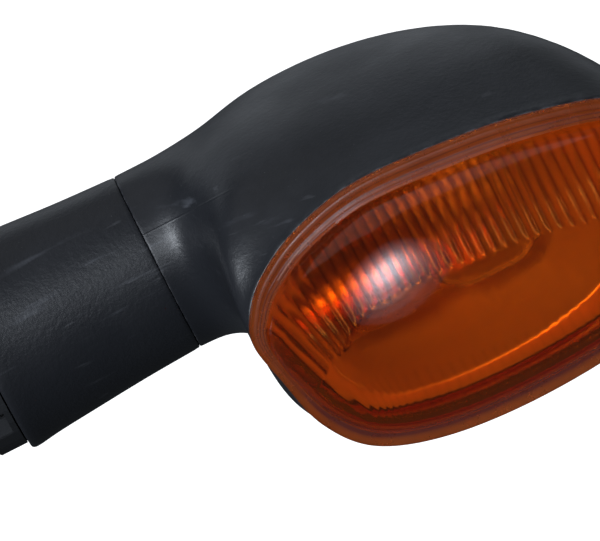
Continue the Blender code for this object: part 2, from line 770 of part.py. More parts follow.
def make_bulb():
    """A bayonet bulb: cap, side pins, insulator, contact, glass, stem, posts and filament."""
    cap_profile = [
        (7.5, 83.9), (7.5, 68.9), (3.9, 68.9), (3.9, 69.5), (6.9, 69.5), (6.9, 83.9),
    ]
    glass_profile = [
        (0, 104.3), (4.6, 103.8), (7.3, 102.4), (8.9, 100.3), (9.5, 98.0), (9.5, 89.5), (9.2, 87.6),
        (8.0, 85.7), (6.5, 84.3), (6.5, 72.0),
        (5.7, 72.0), (5.7, 84.8), (7.3, 86.4), (8.4, 88.0), (8.7, 89.6), (8.7, 97.8), (8.1, 99.9),
        (6.7, 101.8), (4.3, 103.0), (0, 103.5),
    ]
    pieces = [
        turned("bulb_cap", cap_profile, LAMP_AXIS, "outwards", BRASS, closed=True),
        turned("bulb_glass", glass_profile, LAMP_AXIS, "outwards", CLEAR_GLASS),
        turned(
            "cap_insulator",
            [(0, 70.9), (6.3, 70.9), (6.3, 69.8), (3.4, 69.8), (3.4, 68.4), (0, 68.4)],
            LAMP_AXIS, "outwards", BLACK_GLASS,
        ),
        turned(
            "solder_contact",
            [(0, 68.1), (2.0, 68.1), (1.8, 67.8), (1.0, 67.6), (0, 67.6)],
            LAMP_AXIS, "outwards", SOLDER, sides=16,
        ),
        turned(
            "glass_stem",
            [(0, 89.0), (1.9, 89.0), (2.3, 87.0), (2.0, 80.0), (5.2, 74.6), (5.2, 73.6), (0, 73.6)],
            LAMP_AXIS, "outwards", CLEAR_GLASS, sides=16,
        ),
    ]
    for side, sign in (("upper", 1), ("lower", -1)):
        pin_axis = point(BAYONET_X, LAMP_FORWARD, LAMP_Z)
        near, far = sorted((sign * 7.8, sign * 8.8))
        pieces.append(rod(f"bayonet_pin_{side}", 1.0, near, far, pin_axis, "up", BRASS, sides=16))
    post_wire = 0.3
    for side, sign in (("front", 1), ("rear", -1)):
        route = [
            point(89.3, LAMP_FORWARD + sign * 1.1, LAMP_Z),
            point(92.0, LAMP_FORWARD + sign * 1.6, LAMP_Z),
            point(95.5, LAMP_FORWARD + sign * 4.2, LAMP_Z),
        ]
        pieces.append(wire(f"filament_post_{side}", route, post_wire, STEEL))
    arch = []
    for k in range(9):
        share = -1 + k / 4
        arch.append(point(96.3 + 1.6 * (1 - share**2), LAMP_FORWARD + 4.0 * share, LAMP_Z))
    pieces.append(wire("filament", arch, 0.35, TUNGSTEN))
    return pieces


# --- assembly -----------------------------------------------------------------------------------


def assemble():
    mount_body = body_origin("mount_body", ARM_AXIS)
    head_body = body_origin("head_body", point(FLEX_X, 0, 0), mount_body)
    lens_place = point(NECK_START + RIM_CENTRE.x, RIM_FORWARD, RIM_CENTRE.y)
    lens_body = body_origin("lens_body", lens_place, head_body)
    screw_body = body_origin("lens_screw_body", point(LENS_SCREW_X, 43.0, LENS_SCREW_Z), lens_body)
    plunger_body = body_origin("plunger_body", point(SHELL_START, LAMP_FORWARD, LAMP_Z), head_body)
    bulb_body = body_origin("bulb_body", point(BAYONET_X, LAMP_FORWARD, LAMP_Z), plunger_body)

    carry(mount_body, make_mounting_foot(), make_threaded_insert(), make_cable_grommet(), make_rubber_arm())
    carry(mount_body, *make_leads())
    carry(head_body, make_housing(), make_neck_plug(), *make_neck_screws())
    carry(head_body, make_lamp_bracket(), make_earth_terminal(), make_holder_shell())
    holder_insulator = tube("holder_insulator", 1.5, 7.6, 58.1, 59.3, LAMP_AXIS, "outwards", PHENOLIC)
    carry(head_body, holder_insulator, make_reflector(), make_lens_gasket())
    carry(lens_body, make_lens())
    carry(screw_body, *make_lens_screw())
    carry(plunger_body, *make_plunger())
    carry(bulb_body, *make_bulb())


assemble()
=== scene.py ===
"""Finished pieces, materials, lights and camera for a motorcycle turn signal on a flexible rubber arm.

Sizes are in millimetres, as outwards along the arm, forward out of the lens, and up.
"""

import math

import bpy
from mathutils import Matrix, Vector


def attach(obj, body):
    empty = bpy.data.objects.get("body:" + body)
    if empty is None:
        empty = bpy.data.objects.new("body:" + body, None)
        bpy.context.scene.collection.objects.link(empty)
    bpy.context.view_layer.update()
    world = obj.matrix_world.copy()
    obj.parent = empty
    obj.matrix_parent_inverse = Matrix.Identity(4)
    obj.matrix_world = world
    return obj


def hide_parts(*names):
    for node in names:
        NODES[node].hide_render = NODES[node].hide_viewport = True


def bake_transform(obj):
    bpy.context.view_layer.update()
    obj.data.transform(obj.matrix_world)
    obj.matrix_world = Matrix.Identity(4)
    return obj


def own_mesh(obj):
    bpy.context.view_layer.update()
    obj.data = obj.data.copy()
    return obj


MM = 0.001

# --- sizes of the arm --------------------------------------------------------------------------

SLEEVE_START = 6.0
SLEEVE_END = 40.94
NECK_START = 41.0
# outwards, half height, half depth
SLEEVE_OVALS = [
    (SLEEVE_START, 19.6, 16.6),
    (7.2, 20.0, 17.0),
    (12.0, 19.4, 16.5),
    (20.0, 18.7, 16.0),
    (30.0, 17.9, 15.4),
    (SLEEVE_END, 17.3, 15.0),
]
SLEEVE_BORE = (13.0, 11.0)
LEAD_RADIUS = 0.85
LEAD_SPACING = 1.15

# --- sizes of the housing and the lens's outline -----------------------------------------------

RIM_FORWARD = 40.0
HOUSING_RIM = 39.88
RIM_POINTS = [
    (8.8, -6.0), (10.6, -0.9), (15.2, 4.4), (24.0, 9.4), (37.0, 12.5), (55.0, 11.6),
    (70.0, 9.2), (84.0, 4.6), (91.4, -4.0), (92.9, -12.0), (91.0, -22.0), (84.0, -31.5),
    (70.0, -37.4), (51.0, -39.3), (33.0, -38.0), (20.0, -33.4), (13.2, -25.0), (10.3, -14.0),
]
WALL = 1.8
SEAT_INSET = 2.8
# angle of the section, near, far, bottom, top, share of the lens's outline, squareness
HOUSING_SECTIONS = [
    (0, 25.0, 55.0, -17.3, 17.3, 0.0, 2.0),
    (10, 24.6, 56.0, -17.5, 17.3, 0.0, 2.1),
    (20, 22.2, 61.5, -19.4, 17.5, 0.0, 2.4),
    (30, 18.2, 70.3, -23.8, 19.0, 0.0, 2.7),
    (40, 14.6, 78.2, -28.0, 19.5, 0.0, 2.9),
    (50, 12.0, 84.0, -31.2, 19.0, 0.05, 3.2),
    (60, 10.4, 88.0, -33.8, 18.0, 0.15, 3.3),
    (70, 9.4, 90.2, -36.0, 16.4, 0.35, 3.2),
    (80, 8.9, 91.8, -37.8, 14.4, 0.65, 2.9),
    (90, 8.8, 92.9, -39.3, 12.5, 1.0, 2.5),
]
AROUND = 144

# --- sizes of the lens -------------------------------------------------------------------------

LENS_FACE = 42.3
DOME_HEIGHT = 11.0
DOME_POWER = 2.5
BORDER_SIDE = 1.8
BORDER_TOP = 4.0
LENS_WALL = 2.2
SKIRT_TIP = 38.3
LENS_SCREW_X = 123.0
LENS_SCREW_Z = -13.0
FLUTE_PITCH = 2.0
FLUTE_DEPTH = 0.24
# the clear eye in the flutes: its upper and its lower edge
EYE_TOP = [
    (15.6, -17.0), (16.6, -16.0), (20.7, -12.1), (23.4, -10.2), (26.8, -7.3), (30.0, -5.6),
    (36.0, -5.0), (42.5, -5.0), (52.0, -6.0), (61.4, -7.3), (73.6, -11.0), (80.0, -13.6), (84.0, -16.5),
]
EYE_BOTTOM = [
    (15.6, -17.0), (18.8, -17.2), (31.6, -19.4), (46.4, -22.0), (55.5, -22.9), (68.4, -22.9),
    (78.0, -20.6), (84.0, -16.5),
]

# --- sizes of the reflector and the lamp -------------------------------------------------------

REFLECTOR_FRONT = 36.0
# forward, near, far, bottom, top
BOWL_LEVELS = [
    (36.0, 17.0, 76.5, -31.5, 4.7),
    (30.0, 19.0, 74.0, -31.0, 4.2),
    (20.0, 20.5, 68.0, -29.0, 2.4),
    (12.0, 24.0, 61.0, -25.5, -0.4),
    (9.0, 30.0, 55.0, -19.5, -5.5),
]
REFLECTOR_SHEET = 0.9
SEAL_HEIGHT = 1.7
SEAL_WIDTH = 1.6
LAMP_FORWARD = 22.0
LAMP_Z = -12.0
SHELL_OUTER = 9.0
POST_RADIUS = 3.1
POST_BORE = 1.8
SCREW_PITCH = 1.1

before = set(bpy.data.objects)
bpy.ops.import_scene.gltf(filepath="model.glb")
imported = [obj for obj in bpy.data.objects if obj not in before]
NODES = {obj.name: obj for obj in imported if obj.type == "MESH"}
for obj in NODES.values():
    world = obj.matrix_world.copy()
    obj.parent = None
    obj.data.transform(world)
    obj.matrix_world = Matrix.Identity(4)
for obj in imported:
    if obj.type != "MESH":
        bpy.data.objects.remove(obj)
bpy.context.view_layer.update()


def at(outwards, forward, up):
    """A place from sizes in millimetres."""
    return Vector((outwards * MM, -forward * MM, up * MM))


# --- curves and outlines -----------------------------------------------------------------------


def eased(t, before, start, end, after):
    """A value between start and end, on a curve that passes smoothly through all four."""
    slope = (end - before) * t
    bend = (2 * before - 5 * start + 4 * end - after) * t**2
    twist = (3 * start - before - 3 * end + after) * t**3
    return 0.5 * (2 * start + slope + bend + twist)


def smooth_through(knots, per_span, closed=False):
    """Places on a smooth line through the knots, which are tuples of any length."""
    count = len(knots)
    found = []
    for span in range(count if closed else count - 1):
        near = []
        for step in (-1, 0, 1, 2):
            index = (span + step) % count if closed else min(max(span + step, 0), count - 1)
            near.append(knots[index])
        for k in range(per_span):
            found.append(tuple(eased(k / per_span, *values) for values in zip(*near)))
    if not closed:
        found.append(tuple(knots[-1]))
    return found


def between(table, x):
    """The height of a table of (x, height) at x, on straight lines."""
    if x <= table[0][0]:
        return table[0][1]
    for (left, low), (right, high) in zip(table, table[1:]):
        if x <= right:
            return low + (high - low) * (x - left) / max(right - left, 1e-9)
    return table[-1][1]


def step_up(value, start, end):
    """0 below start, 1 above end, and a smooth rise between them."""
    t = min(max((value - start) / (end - start), 0.0), 1.0)
    return t * t * (3 - 2 * t)


def round_table(places):
    """A table of angle and reach for places around the origin, for reach_in."""
    table = sorted((math.atan2(y, x) % math.tau, math.hypot(x, y)) for x, y in places)
    first, last = table[0], table[-1]
    return [(last[0] - math.tau, last[1])] + table + [(first[0] + math.tau, first[1])]


def reach_in(table, angle):
    """The reach at an angle, found by halving the table."""
    angle %= math.tau
    low, high = 0, len(table) - 1
    while high - low > 1:
        middle = (low + high) // 2
        if table[middle][0] <= angle:
            low = middle
        else:
            high = middle
    (a, near), (b, far) = table[low], table[high]
    return near + (far - near) * (angle - a) / max(b - a, 1e-9)


OUTLINE = smooth_through(RIM_POINTS, 40, closed=True)
RIM_LEFT = min(x for x, z in OUTLINE)
RIM_RIGHT = max(x for x, z in OUTLINE)
RIM_BOTTOM = min(z for x, z in OUTLINE)
RIM_TOP = max(z for x, z in OUTLINE)
RIM_MIDDLE = ((RIM_LEFT + RIM_RIGHT) / 2, (RIM_BOTTOM + RIM_TOP) / 2)
RIM_HALF = ((RIM_RIGHT - RIM_LEFT) / 2, (RIM_TOP - RIM_BOTTOM) / 2)
RIM_REACH = round_table(
    [((x - RIM_MIDDLE[0]) / RIM_HALF[0], (z - RIM_MIDDLE[1]) / RIM_HALF[1]) for x, z in OUTLINE]
)
ROUND = [math.tau * k / AROUND for k in range(AROUND)]


def rim_place(angle, inset=0.0):
    """A place on the lens's outline, moved inwards, as (outwards from the neck's start, up)."""
    found = []
    for shift in (-0.02, 0.0, 0.02):
        reach = reach_in(RIM_REACH, angle + shift)
        found.append(
            Vector(
                (
                    RIM_MIDDLE[0] + RIM_HALF[0] * reach * math.cos(angle + shift),
                    RIM_MIDDLE[1] + RIM_HALF[1] * reach * math.sin(angle + shift),
                )
            )
        )
    along = (found[2] - found[0]).normalized()
    return found[1] + Vector((-along.y, along.x)) * inset


def rim_ring(inset, forward, angles=None):
    """The lens's outline moved inwards, as a ring at one depth."""
    ring = []
    for angle in angles or ROUND:
        place = rim_place(angle, inset)
        ring.append(at(NECK_START + place.x, forward, place.y))
    return ring


def boxed_ring(near, far, bottom, top, share, squareness):
    """A closed outline in a box, between a squared oval and the lens's outline."""
    ring = []
    for angle in ROUND:
        total = abs(math.cos(angle)) ** squareness + abs(math.sin(angle)) ** squareness
        reach = share * reach_in(RIM_REACH, angle) + (1 - share) * total ** (-1 / squareness)
        x = (near + far) / 2 + (far - near) / 2 * reach * math.cos(angle)
        z = (bottom + top) / 2 + (top - bottom) / 2 * reach * math.sin(angle)
        ring.append((x, z))
    return ring


def oval_ring(x, half_height, half_depth):
    """An oval across the arm."""
    return [at(x, half_depth * math.cos(a), half_height * math.sin(a)) for a in ROUND]


# --- mesh helpers ------------------------------------------------------------------------------


def deselect():
    """Leaves edit mode, with nothing selected."""
    if bpy.context.object and bpy.context.object.mode != "OBJECT":
        bpy.ops.object.mode_set(mode="OBJECT")
    bpy.ops.object.select_all(action="DESELECT")


def make_active(piece):
    """Selects one piece alone."""
    deselect()
    piece.select_set(True)
    bpy.context.view_layer.objects.active = piece


def smooth(piece, degrees):
    """Smooth shading, except over edges sharper than an angle."""
    make_active(piece)
    bpy.ops.object.shade_smooth_by_angle(angle=math.radians(degrees))


def apply_change(piece, change):
    make_active(piece)
    bpy.ops.object.modifier_apply(modifier=change.name)


def name_piece(name):
    """Names the object that was made last, and its mesh."""
    piece = bpy.context.object
    piece.name = name
    piece.data.name = name
    return piece


def close_up(piece, holes=False, smooth_angle=35.0):
    """Welds the seams of a piece, fills its open ends if asked, and turns its faces outwards."""
    make_active(piece)
    bpy.ops.object.mode_set(mode="EDIT")
    bpy.ops.mesh.select_all(action="SELECT")
    bpy.ops.mesh.remove_doubles(threshold=0.000002)
    if holes:
        bpy.ops.mesh.fill_holes(sides=0)
    bpy.ops.mesh.select_all(action="SELECT")
    bpy.ops.mesh.normals_make_consistent(inside=False)
    bpy.ops.object.mode_set(mode="OBJECT")
    smooth(piece, smooth_angle)
    return piece


def sheet(name, rows, around=False, joined=False):
    """A grid laid on rows of places. Each row may close on itself, and the last row on the first."""
    columns = len(rows[0]) if around else len(rows[0]) - 1
    steps = len(rows) if joined else len(rows) - 1
    deselect()
    bpy.ops.mesh.primitive_grid_add(x_subdivisions=columns, y_subdivisions=steps, size=0.1)
    piece = name_piece(name)
    places = []
    for step in range(steps + 1):
        row = rows[step % len(rows)]
        for column in range(columns + 1):
            places.extend(row[column % len(row)])
    piece.data.vertices.foreach_set("co", places)
    piece.data.update()
    return piece


def mark(piece, name, values):
    """Stores a number at each place of a piece, for its material to read."""
    piece.data.attributes.new(name, "FLOAT", "POINT").data.foreach_set("value", values)


def loft(name, rings, joined=False, smooth_angle=35.0, worn=None):
    """A closed skin over rings. Joined rings make a loop, and others get their ends filled."""
    piece = sheet(name, rings, around=True, joined=joined)
    if worn:
        around = len(rings[0]) + 1
        values = [amount for amount in worn for _ in range(around)]
        mark(piece, "wear", values + values[:around] if joined else values)
    return close_up(piece, holes=not joined, smooth_angle=smooth_angle)


def round_ring(along, radius, place, direction, sides):
    """A circle around a line that goes through a place either outwards or forward."""
    ring = []
    for k in range(sides):
        a = math.tau * k / sides
        c = radius * math.cos(a)
        s = radius * math.sin(a)
        if direction == "outwards":
            ring.append(at(along, c, s) + place)
        else:
            ring.append(at(c, along, s) + place)
    return ring


def turned(name, profile, place, direction, joined=False, sides=64, smooth_angle=35.0):
    """A turned piece from (along, radius) places."""
    rings = []
    for along, radius in profile:
        rings.append(round_ring(along, max(radius, 0.004), place, direction, sides))
    return loft(name, rings, joined=joined, smooth_angle=smooth_angle)


def pipe(name, places, radius, sides=12):
    """A round wire along a line of places."""
    places = [Vector(place) for place in places]
    rings = []
    side = None
    for index, place in enumerate(places):
        before = places[max(index - 1, 0)]
        after = places[min(index + 1, len(places) - 1)]
        along = (after - before).normalized()
        if side is None:
            side = along.orthogonal().normalized()
        side = (side - along * side.dot(along)).normalized()
        other = along.cross(side)
        ring = []
        for k in range(sides):
            a = math.tau * k / sides
            ring.append(place + (side * math.cos(a) + other * math.sin(a)) * radius * MM)
        rings.append(ring)
    return loft(name, rings, smooth_angle=60.0)


def rod(radius, start, end, place, direction, sides=64):
    """A cylinder either outwards or forward, with its place in its mesh."""
    way, turn = {
        "outwards": (at(1, 0, 0), (0, math.pi / 2, 0)),
        "forward": (at(0, 1, 0), (math.pi / 2, 0, 0)),
    }[direction]
    deselect()
    bpy.ops.mesh.primitive_cylinder_add(
        vertices=sides,
        radius=radius * MM,
        depth=(end - start) * MM,
        location=place + way * ((start + end) / 2),
        rotation=turn,
    )
    bpy.ops.object.transform_apply(location=True, rotation=True, scale=True)
    return bpy.context.object


def slab(low, high):
    """A block between two corners."""
    first, last = at(*low), at(*high)
    deselect()
    bpy.ops.mesh.primitive_cube_add(size=1, location=(first + last) / 2)
    size = last - first
    bpy.context.object.scale = (abs(size.x), abs(size.y), abs(size.z))
    bpy.ops.object.transform_apply(location=True, rotation=True, scale=True)
    return bpy.context.object


def combine(piece, tool, operation):
    """Joins a tool to a piece or cuts it out, and removes the tool."""
    change = piece.modifiers.new("change", "BOOLEAN")
    change.object = tool
    change.operation = operation
    change.solver = "EXACT"
    apply_change(piece, change)
    bpy.data.objects.remove(tool)
    return piece


def drill(piece, radius, start, end, place, direction, sides=64):
    return combine(piece, rod(radius, start, end, place, direction, sides), "DIFFERENCE")


def round_edges(piece, width, segments=3, angle=30.0):
    """Bevels the sharp edges of a piece."""
    edge = piece.modifiers.new("edge", "BEVEL")
    edge.width = width * MM
    edge.segments = segments
    edge.limit_method = "ANGLE"
    edge.angle_limit = math.radians(angle)
    apply_change(piece, edge)
    smooth(piece, 40)
    return piece


def place_piece(piece, material, body, *replaced, slot=None):
    """Gives a piece its material, its body, and the nodes that it stands for."""
    if material:
        piece.data.materials.clear()
        piece.data.materials.append(material)
    if body:
        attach(piece, body)
    if replaced:
        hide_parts(*replaced)
    return piece


# --- materials ---------------------------------------------------------------------------------


class Finish:
    """A material with its shader, and short ways to add a pattern to it."""

    def __init__(self, name, colour, roughness, metallic=0.0):
        self.material = bpy.data.materials.new(name)
        self.material.use_nodes = True
        self.tree = self.material.node_tree
        self.shader = self.tree.nodes["Principled BSDF"]
        self.shader.inputs["Base Color"].default_value = (*colour, 1.0)
        self.shader.inputs["Roughness"].default_value = roughness
        self.shader.inputs["Metallic"].default_value = metallic
        self.places = self.tree.nodes.new("ShaderNodeTexCoord").outputs["Object"]

    def node(self, kind, **values):
        node = self.tree.nodes.new(kind)
        for name, value in values.items():
            setattr(node, name, value)
        return node

    def join(self, start, end):
        self.tree.links.new(start, end)

    def stretched(self, scale, turn=(0, 0, 0)):
        mapping = self.node("ShaderNodeMapping")
        mapping.inputs["Scale"].default_value = scale
        mapping.inputs["Rotation"].default_value = turn
        self.join(self.places, mapping.inputs["Vector"])
        return mapping.outputs["Vector"]

    def noise(self, scale, detail=3.0, rough=0.5, places=None):
        noise = self.node("ShaderNodeTexNoise")
        noise.inputs["Scale"].default_value = scale
        noise.inputs["Detail"].default_value = detail
        noise.inputs["Roughness"].default_value = rough
        self.join(places or self.places, noise.inputs["Vector"])
        return noise.outputs["Fac"]

    def spread(self, value, low, high, to_low=0.0, to_high=1.0):
        """Maps a value from low..high to to_low..to_high, and holds it there outside."""
        change = self.node("ShaderNodeMapRange", clamp=True)
        for name, number in zip(
            ("From Min", "From Max", "To Min", "To Max"), (low, high, to_low, to_high)
        ):
            change.inputs[name].default_value = number
        self.join(value, change.inputs["Value"])
        return change.outputs["Result"]

    def math(self, operation, first, second):
        node = self.node("ShaderNodeMath", operation=operation)
        for index, value in enumerate((first, second)):
            if isinstance(value, (int, float)):
                node.inputs[index].default_value = value
            else:
                self.join(value, node.inputs[index])
        return node.outputs["Value"]

    def blend(self, share, first, second):
        mix = self.node("ShaderNodeMix", data_type="RGBA")
        self.join(share, mix.inputs["Factor"])
        for socket, colour in ((mix.inputs[6], first), (mix.inputs[7], second)):
            if isinstance(colour, tuple):
                socket.default_value = (*colour, 1.0)
            else:
                self.join(colour, socket)
        return mix.outputs[2]

    def bump(self, height, strength, distance, under=None):
        bump = self.node("ShaderNodeBump")
        bump.inputs["Strength"].default_value = strength
        bump.inputs["Distance"].default_value = distance
        self.join(height, bump.inputs["Height"])
        if under:
            self.join(under, bump.inputs["Normal"])
        self.join(bump.outputs["Normal"], self.shader.inputs["Normal"])
        return bump.outputs["Normal"]

    def colour(self, value):
        self.join(value, self.shader.inputs["Base Color"])

    def roughness(self, value):
        self.join(value, self.shader.inputs["Roughness"])


def mould_line(look):
    """A fine raised line along the neck's upper front, where the mould's halves met."""
    place = look.node("ShaderNodeSeparateXYZ")
    look.join(look.places, place.inputs["Vector"])
    height = look.math("MULTIPLY", place.outputs["Z"], 0.927)
    height = look.math("ADD", height, look.math("MULTIPLY", place.outputs["Y"], 0.375))
    off_line = look.math("ABSOLUTE", look.math("SUBTRACT", height, 0.0052), 0.0)
    line = look.spread(off_line, 0.00004, 0.00025, 1.0, 0.0)
    line = look.math("MULTIPLY", line, look.spread(place.outputs["X"], 0.050, 0.062, 1.0, 0.0))
    return look.math("MULTIPLY", line, look.spread(place.outputs["Y"], -0.006, -0.003, 1.0, 0.0))


def black_moulded(name, dark, dusty, rough_low, rough_high, grain, line=False):
    """Black moulded plastic or rubber: cloudy sheen, fine grain, dust on top and a few scuffs."""
    look = Finish(name, dark, rough_low)
    look.shader.inputs["Specular IOR Level"].default_value = 0.42
    clouds = look.noise(38.0, 4.0, 0.6)
    look.roughness(look.spread(clouds, 0.3, 0.7, rough_low, rough_high))
    faces = look.node("ShaderNodeSeparateXYZ")
    look.join(look.node("ShaderNodeNewGeometry").outputs["Normal"], faces.inputs["Vector"])
    upward = look.spread(faces.outputs["Z"], 0.1, 0.95)
    film = look.math("MULTIPLY", look.spread(look.noise(70.0, 6.0, 0.7), 0.42, 0.75), upward)
    specks = look.math("MULTIPLY", look.spread(look.noise(2600.0, 2.0, 0.5), 0.73, 0.78), upward)
    scrapes = look.noise(150.0, 3.0, 0.6, look.stretched((0.25, 1.0, 3.2), (0.4, 0.3, 0.5)))
    scuffed = look.math("MULTIPLY", look.spread(scrapes, 0.60, 0.72), look.spread(clouds, 0.50, 0.62))
    scratches = look.noise(55.0, 2.0, 0.5, look.stretched((1.2, 3.0, 16.0), (0.5, 0.9, 0.9)))
    patchy = look.spread(clouds, 0.47, 0.56)
    scratched = look.math("MULTIPLY", look.spread(scratches, 0.68, 0.71), patchy)
    tint = look.blend(look.math("MULTIPLY", film, 0.30), dark, dusty)
    tint = look.blend(look.math("MULTIPLY", specks, 0.5), tint, (0.16, 0.165, 0.17))
    tint = look.blend(look.math("MULTIPLY", scuffed, 0.45), tint, (0.09, 0.095, 0.11))
    tint = look.blend(look.math("MULTIPLY", scratched, 0.16), tint, (0.14, 0.145, 0.16))
    worn = look.node("ShaderNodeAttribute", attribute_name="wear").outputs["Fac"]
    rubbed = look.math("MULTIPLY", worn, look.spread(look.noise(420.0, 5.0, 0.7), 0.46, 0.62))
    tint = look.blend(look.math("MULTIPLY", rubbed, 0.75), tint, (0.13, 0.13, 0.14))
    look.colour(tint)
    grained = look.bump(look.noise(1100.0, 4.0, 0.65), grain, 0.0002)
    waved = look.bump(look.noise(120.0, 3.0, 0.5), 0.12, 0.0004, grained)
    if line:
        look.bump(mould_line(look), 0.45, 0.00012, waved)
    return look.material


def make_materials():
    looks = {}
    looks["housing"] = black_moulded(
        "housing_plastic", (0.0125, 0.0135, 0.0165), (0.040, 0.042, 0.050), 0.27, 0.44, 0.30, True
    )
    looks["foot"] = black_moulded(
        "foot_plastic", (0.016, 0.017, 0.019), (0.04, 0.04, 0.045), 0.45, 0.6, 0.20
    )
    looks["arm"] = black_moulded(
        "arm_rubber", (0.0125, 0.0135, 0.0165), (0.034, 0.036, 0.044), 0.30, 0.48, 0.55
    )

    seal = Finish("seal_rubber", (0.02, 0.02, 0.021), 0.7)
    seal.roughness(seal.spread(seal.noise(300.0), 0.3, 0.7, 0.62, 0.82))
    seal.bump(seal.noise(1800.0), 0.25, 0.00005)
    looks["seal"] = seal.material

    amber = Finish("lens_amber", (0.93, 0.15, 0.004), 0.05)
    amber.shader.inputs["Transmission Weight"].default_value = 0.95
    amber.shader.inputs["IOR"].default_value = 1.49
    cloudy = amber.spread(amber.noise(45.0, 4.0, 0.6), 0.35, 0.7)
    tint = amber.blend(cloudy, (0.94, 0.165, 0.0045), (0.90, 0.14, 0.0035))
    # painted shade: the amber is darkened in the grooves between the flutes, standing in for the
    # darkening from reflections inside the lens
    groove = amber.node("ShaderNodeAttribute", attribute_name="groove").outputs["Fac"]
    amber.colour(amber.blend(groove, tint, (0.25, 0.012, 0.0005)))
    frost = amber.node("ShaderNodeAttribute", attribute_name="frost").outputs["Fac"]
    hazy = amber.spread(amber.noise(160.0, 5.0, 0.7), 0.40, 0.75, 0.045, 0.10)
    amber.roughness(amber.math("ADD", hazy, amber.math("MULTIPLY", frost, 0.16)))
    amber.bump(amber.noise(90.0, 2.0, 0.5), 0.05, 0.0002)
    looks["amber"] = amber.material

    border = Finish("lens_border", (0.92, 0.22, 0.035), 0.26)
    border.shader.inputs["Transmission Weight"].default_value = 0.55
    border.shader.inputs["IOR"].default_value = 1.49
    streaks = border.spread(border.noise(90.0, 4.0, 0.6), 0.35, 0.7)
    border_tint = border.blend(streaks, (0.88, 0.22, 0.04), (0.70, 0.16, 0.03))
    # painted shade: the border is darkened in lines along its top steps and in a band along its bottom,
    # standing in for dark reflections
    band = border.node("ShaderNodeAttribute", attribute_name="band").outputs["Fac"]
    border.colour(border.blend(band, border_tint, (0.32, 0.085, 0.07)))
    border.roughness(border.spread(border.noise(220.0, 4.0, 0.6), 0.35, 0.7, 0.22, 0.36))
    border.bump(border.noise(500.0, 3.0, 0.6), 0.10, 0.0001)
    looks["border"] = border.material

    silver = Finish("reflector_silver", (0.88, 0.88, 0.89), 0.3, 0.6)
    silver.roughness(silver.spread(silver.noise(120.0, 4.0, 0.6), 0.35, 0.7, 0.34, 0.44))
    silver.bump(silver.noise(60.0, 2.0, 0.5), 0.10, 0.0006)
    looks["silver"] = silver.material

    brass = Finish("brass", (0.62, 0.44, 0.18), 0.3, 1.0)
    stain = brass.spread(brass.noise(260.0, 5.0, 0.65), 0.4, 0.7)
    brass.colour(brass.blend(stain, (0.66, 0.47, 0.20), (0.44, 0.30, 0.13)))
    brass.roughness(brass.spread(brass.noise(500.0), 0.3, 0.7, 0.22, 0.42))
    brass.bump(brass.noise(900.0), 0.12, 0.00004)
    looks["brass"] = brass.material

    steel = Finish("plated_steel", (0.60, 0.60, 0.58), 0.32, 1.0)
    bloom = steel.spread(steel.noise(300.0, 4.0, 0.6), 0.4, 0.7)
    steel.colour(steel.blend(bloom, (0.62, 0.62, 0.60), (0.50, 0.50, 0.50)))
    steel.roughness(steel.spread(steel.noise(700.0), 0.3, 0.7, 0.24, 0.42))
    steel.bump(steel.noise(1500.0), 0.15, 0.00003)
    looks["steel"] = steel.material

    glass = Finish("bulb_glass", (1.0, 1.0, 1.0), 0.0)
    glass.shader.inputs["Transmission Weight"].default_value = 1.0
    glass.shader.inputs["IOR"].default_value = 1.5
    glass.roughness(glass.spread(glass.noise(200.0), 0.4, 0.8, 0.0, 0.02))
    looks["glass"] = glass.material

    black_glass = Finish("black_glass", (0.02, 0.02, 0.025), 0.12)
    black_glass.bump(black_glass.noise(500.0), 0.2, 0.0001)
    looks["black_glass"] = black_glass.material

    phenolic = Finish("phenolic", (0.30, 0.15, 0.06), 0.6)
    fibres = phenolic.noise(900.0, 4.0, 0.6, phenolic.stretched((1.0, 0.2, 1.0)))
    phenolic.colour(phenolic.blend(fibres, (0.22, 0.10, 0.04), (0.38, 0.20, 0.09)))
    phenolic.bump(fibres, 0.2, 0.00005)
    looks["phenolic"] = phenolic.material

    for key, name, colour in (
        ("live", "live_cover", (0.03, 0.06, 0.25)),
        ("earth", "earth_cover", (0.10, 0.05, 0.03)),
    ):
        cover = Finish(name, colour, 0.45)
        cover.roughness(cover.spread(cover.noise(400.0), 0.3, 0.7, 0.38, 0.55))
        cover.bump(cover.noise(1500.0), 0.15, 0.00005)
        looks[key] = cover.material

    tungsten = Finish("filament_metal", (0.30, 0.30, 0.32), 0.4, 1.0)
    tungsten.roughness(tungsten.spread(tungsten.noise(3000.0), 0.3, 0.7, 0.3, 0.5))
    looks["tungsten"] = tungsten.material

    solder = Finish("solder", (0.58, 0.58, 0.60), 0.35, 1.0)
    solder.roughness(solder.spread(solder.noise(1200.0), 0.3, 0.7, 0.25, 0.5))
    solder.bump(solder.noise(1200.0), 0.4, 0.0001)
    looks["solder"] = solder.material
    return looks


LOOKS = make_materials()

# --- the arm -----------------------------------------------------------------------------------


def make_rubber_arm():
    """The sleeve of the flexible rubber arm, with its flared lip and rounded ends."""
    ovals = smooth_through(SLEEVE_OVALS, 6)
    first, last = ovals[0], ovals[-1]
    rings = []
    for along, inset in ((0.0, 0.7), (0.15, 0.25)):
        rings.append(oval_ring(SLEEVE_START + along, first[1] - inset, first[2] - inset))
    for x, half_height, half_depth in ovals[1:-1]:
        if x < SLEEVE_END - 0.8:
            rings.append(oval_ring(x, half_height, half_depth))
    for back, inset in ((0.7, 0.0), (0.3, 0.03), (0.1, 0.13), (0.0, 0.32)):
        rings.append(oval_ring(SLEEVE_END - back, last[1] - inset, last[2] - inset))
    bore = 20
    for k in range(bore + 1):
        x = SLEEVE_END + (SLEEVE_START - SLEEVE_END) * k / bore
        rings.append(oval_ring(x, *SLEEVE_BORE))
    arm = loft("rubber_arm_sleeve", rings, joined=True)
    place_piece(arm, LOOKS["arm"], None, "rubber_arm", slot="arm_rubber")
    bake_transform(arm)


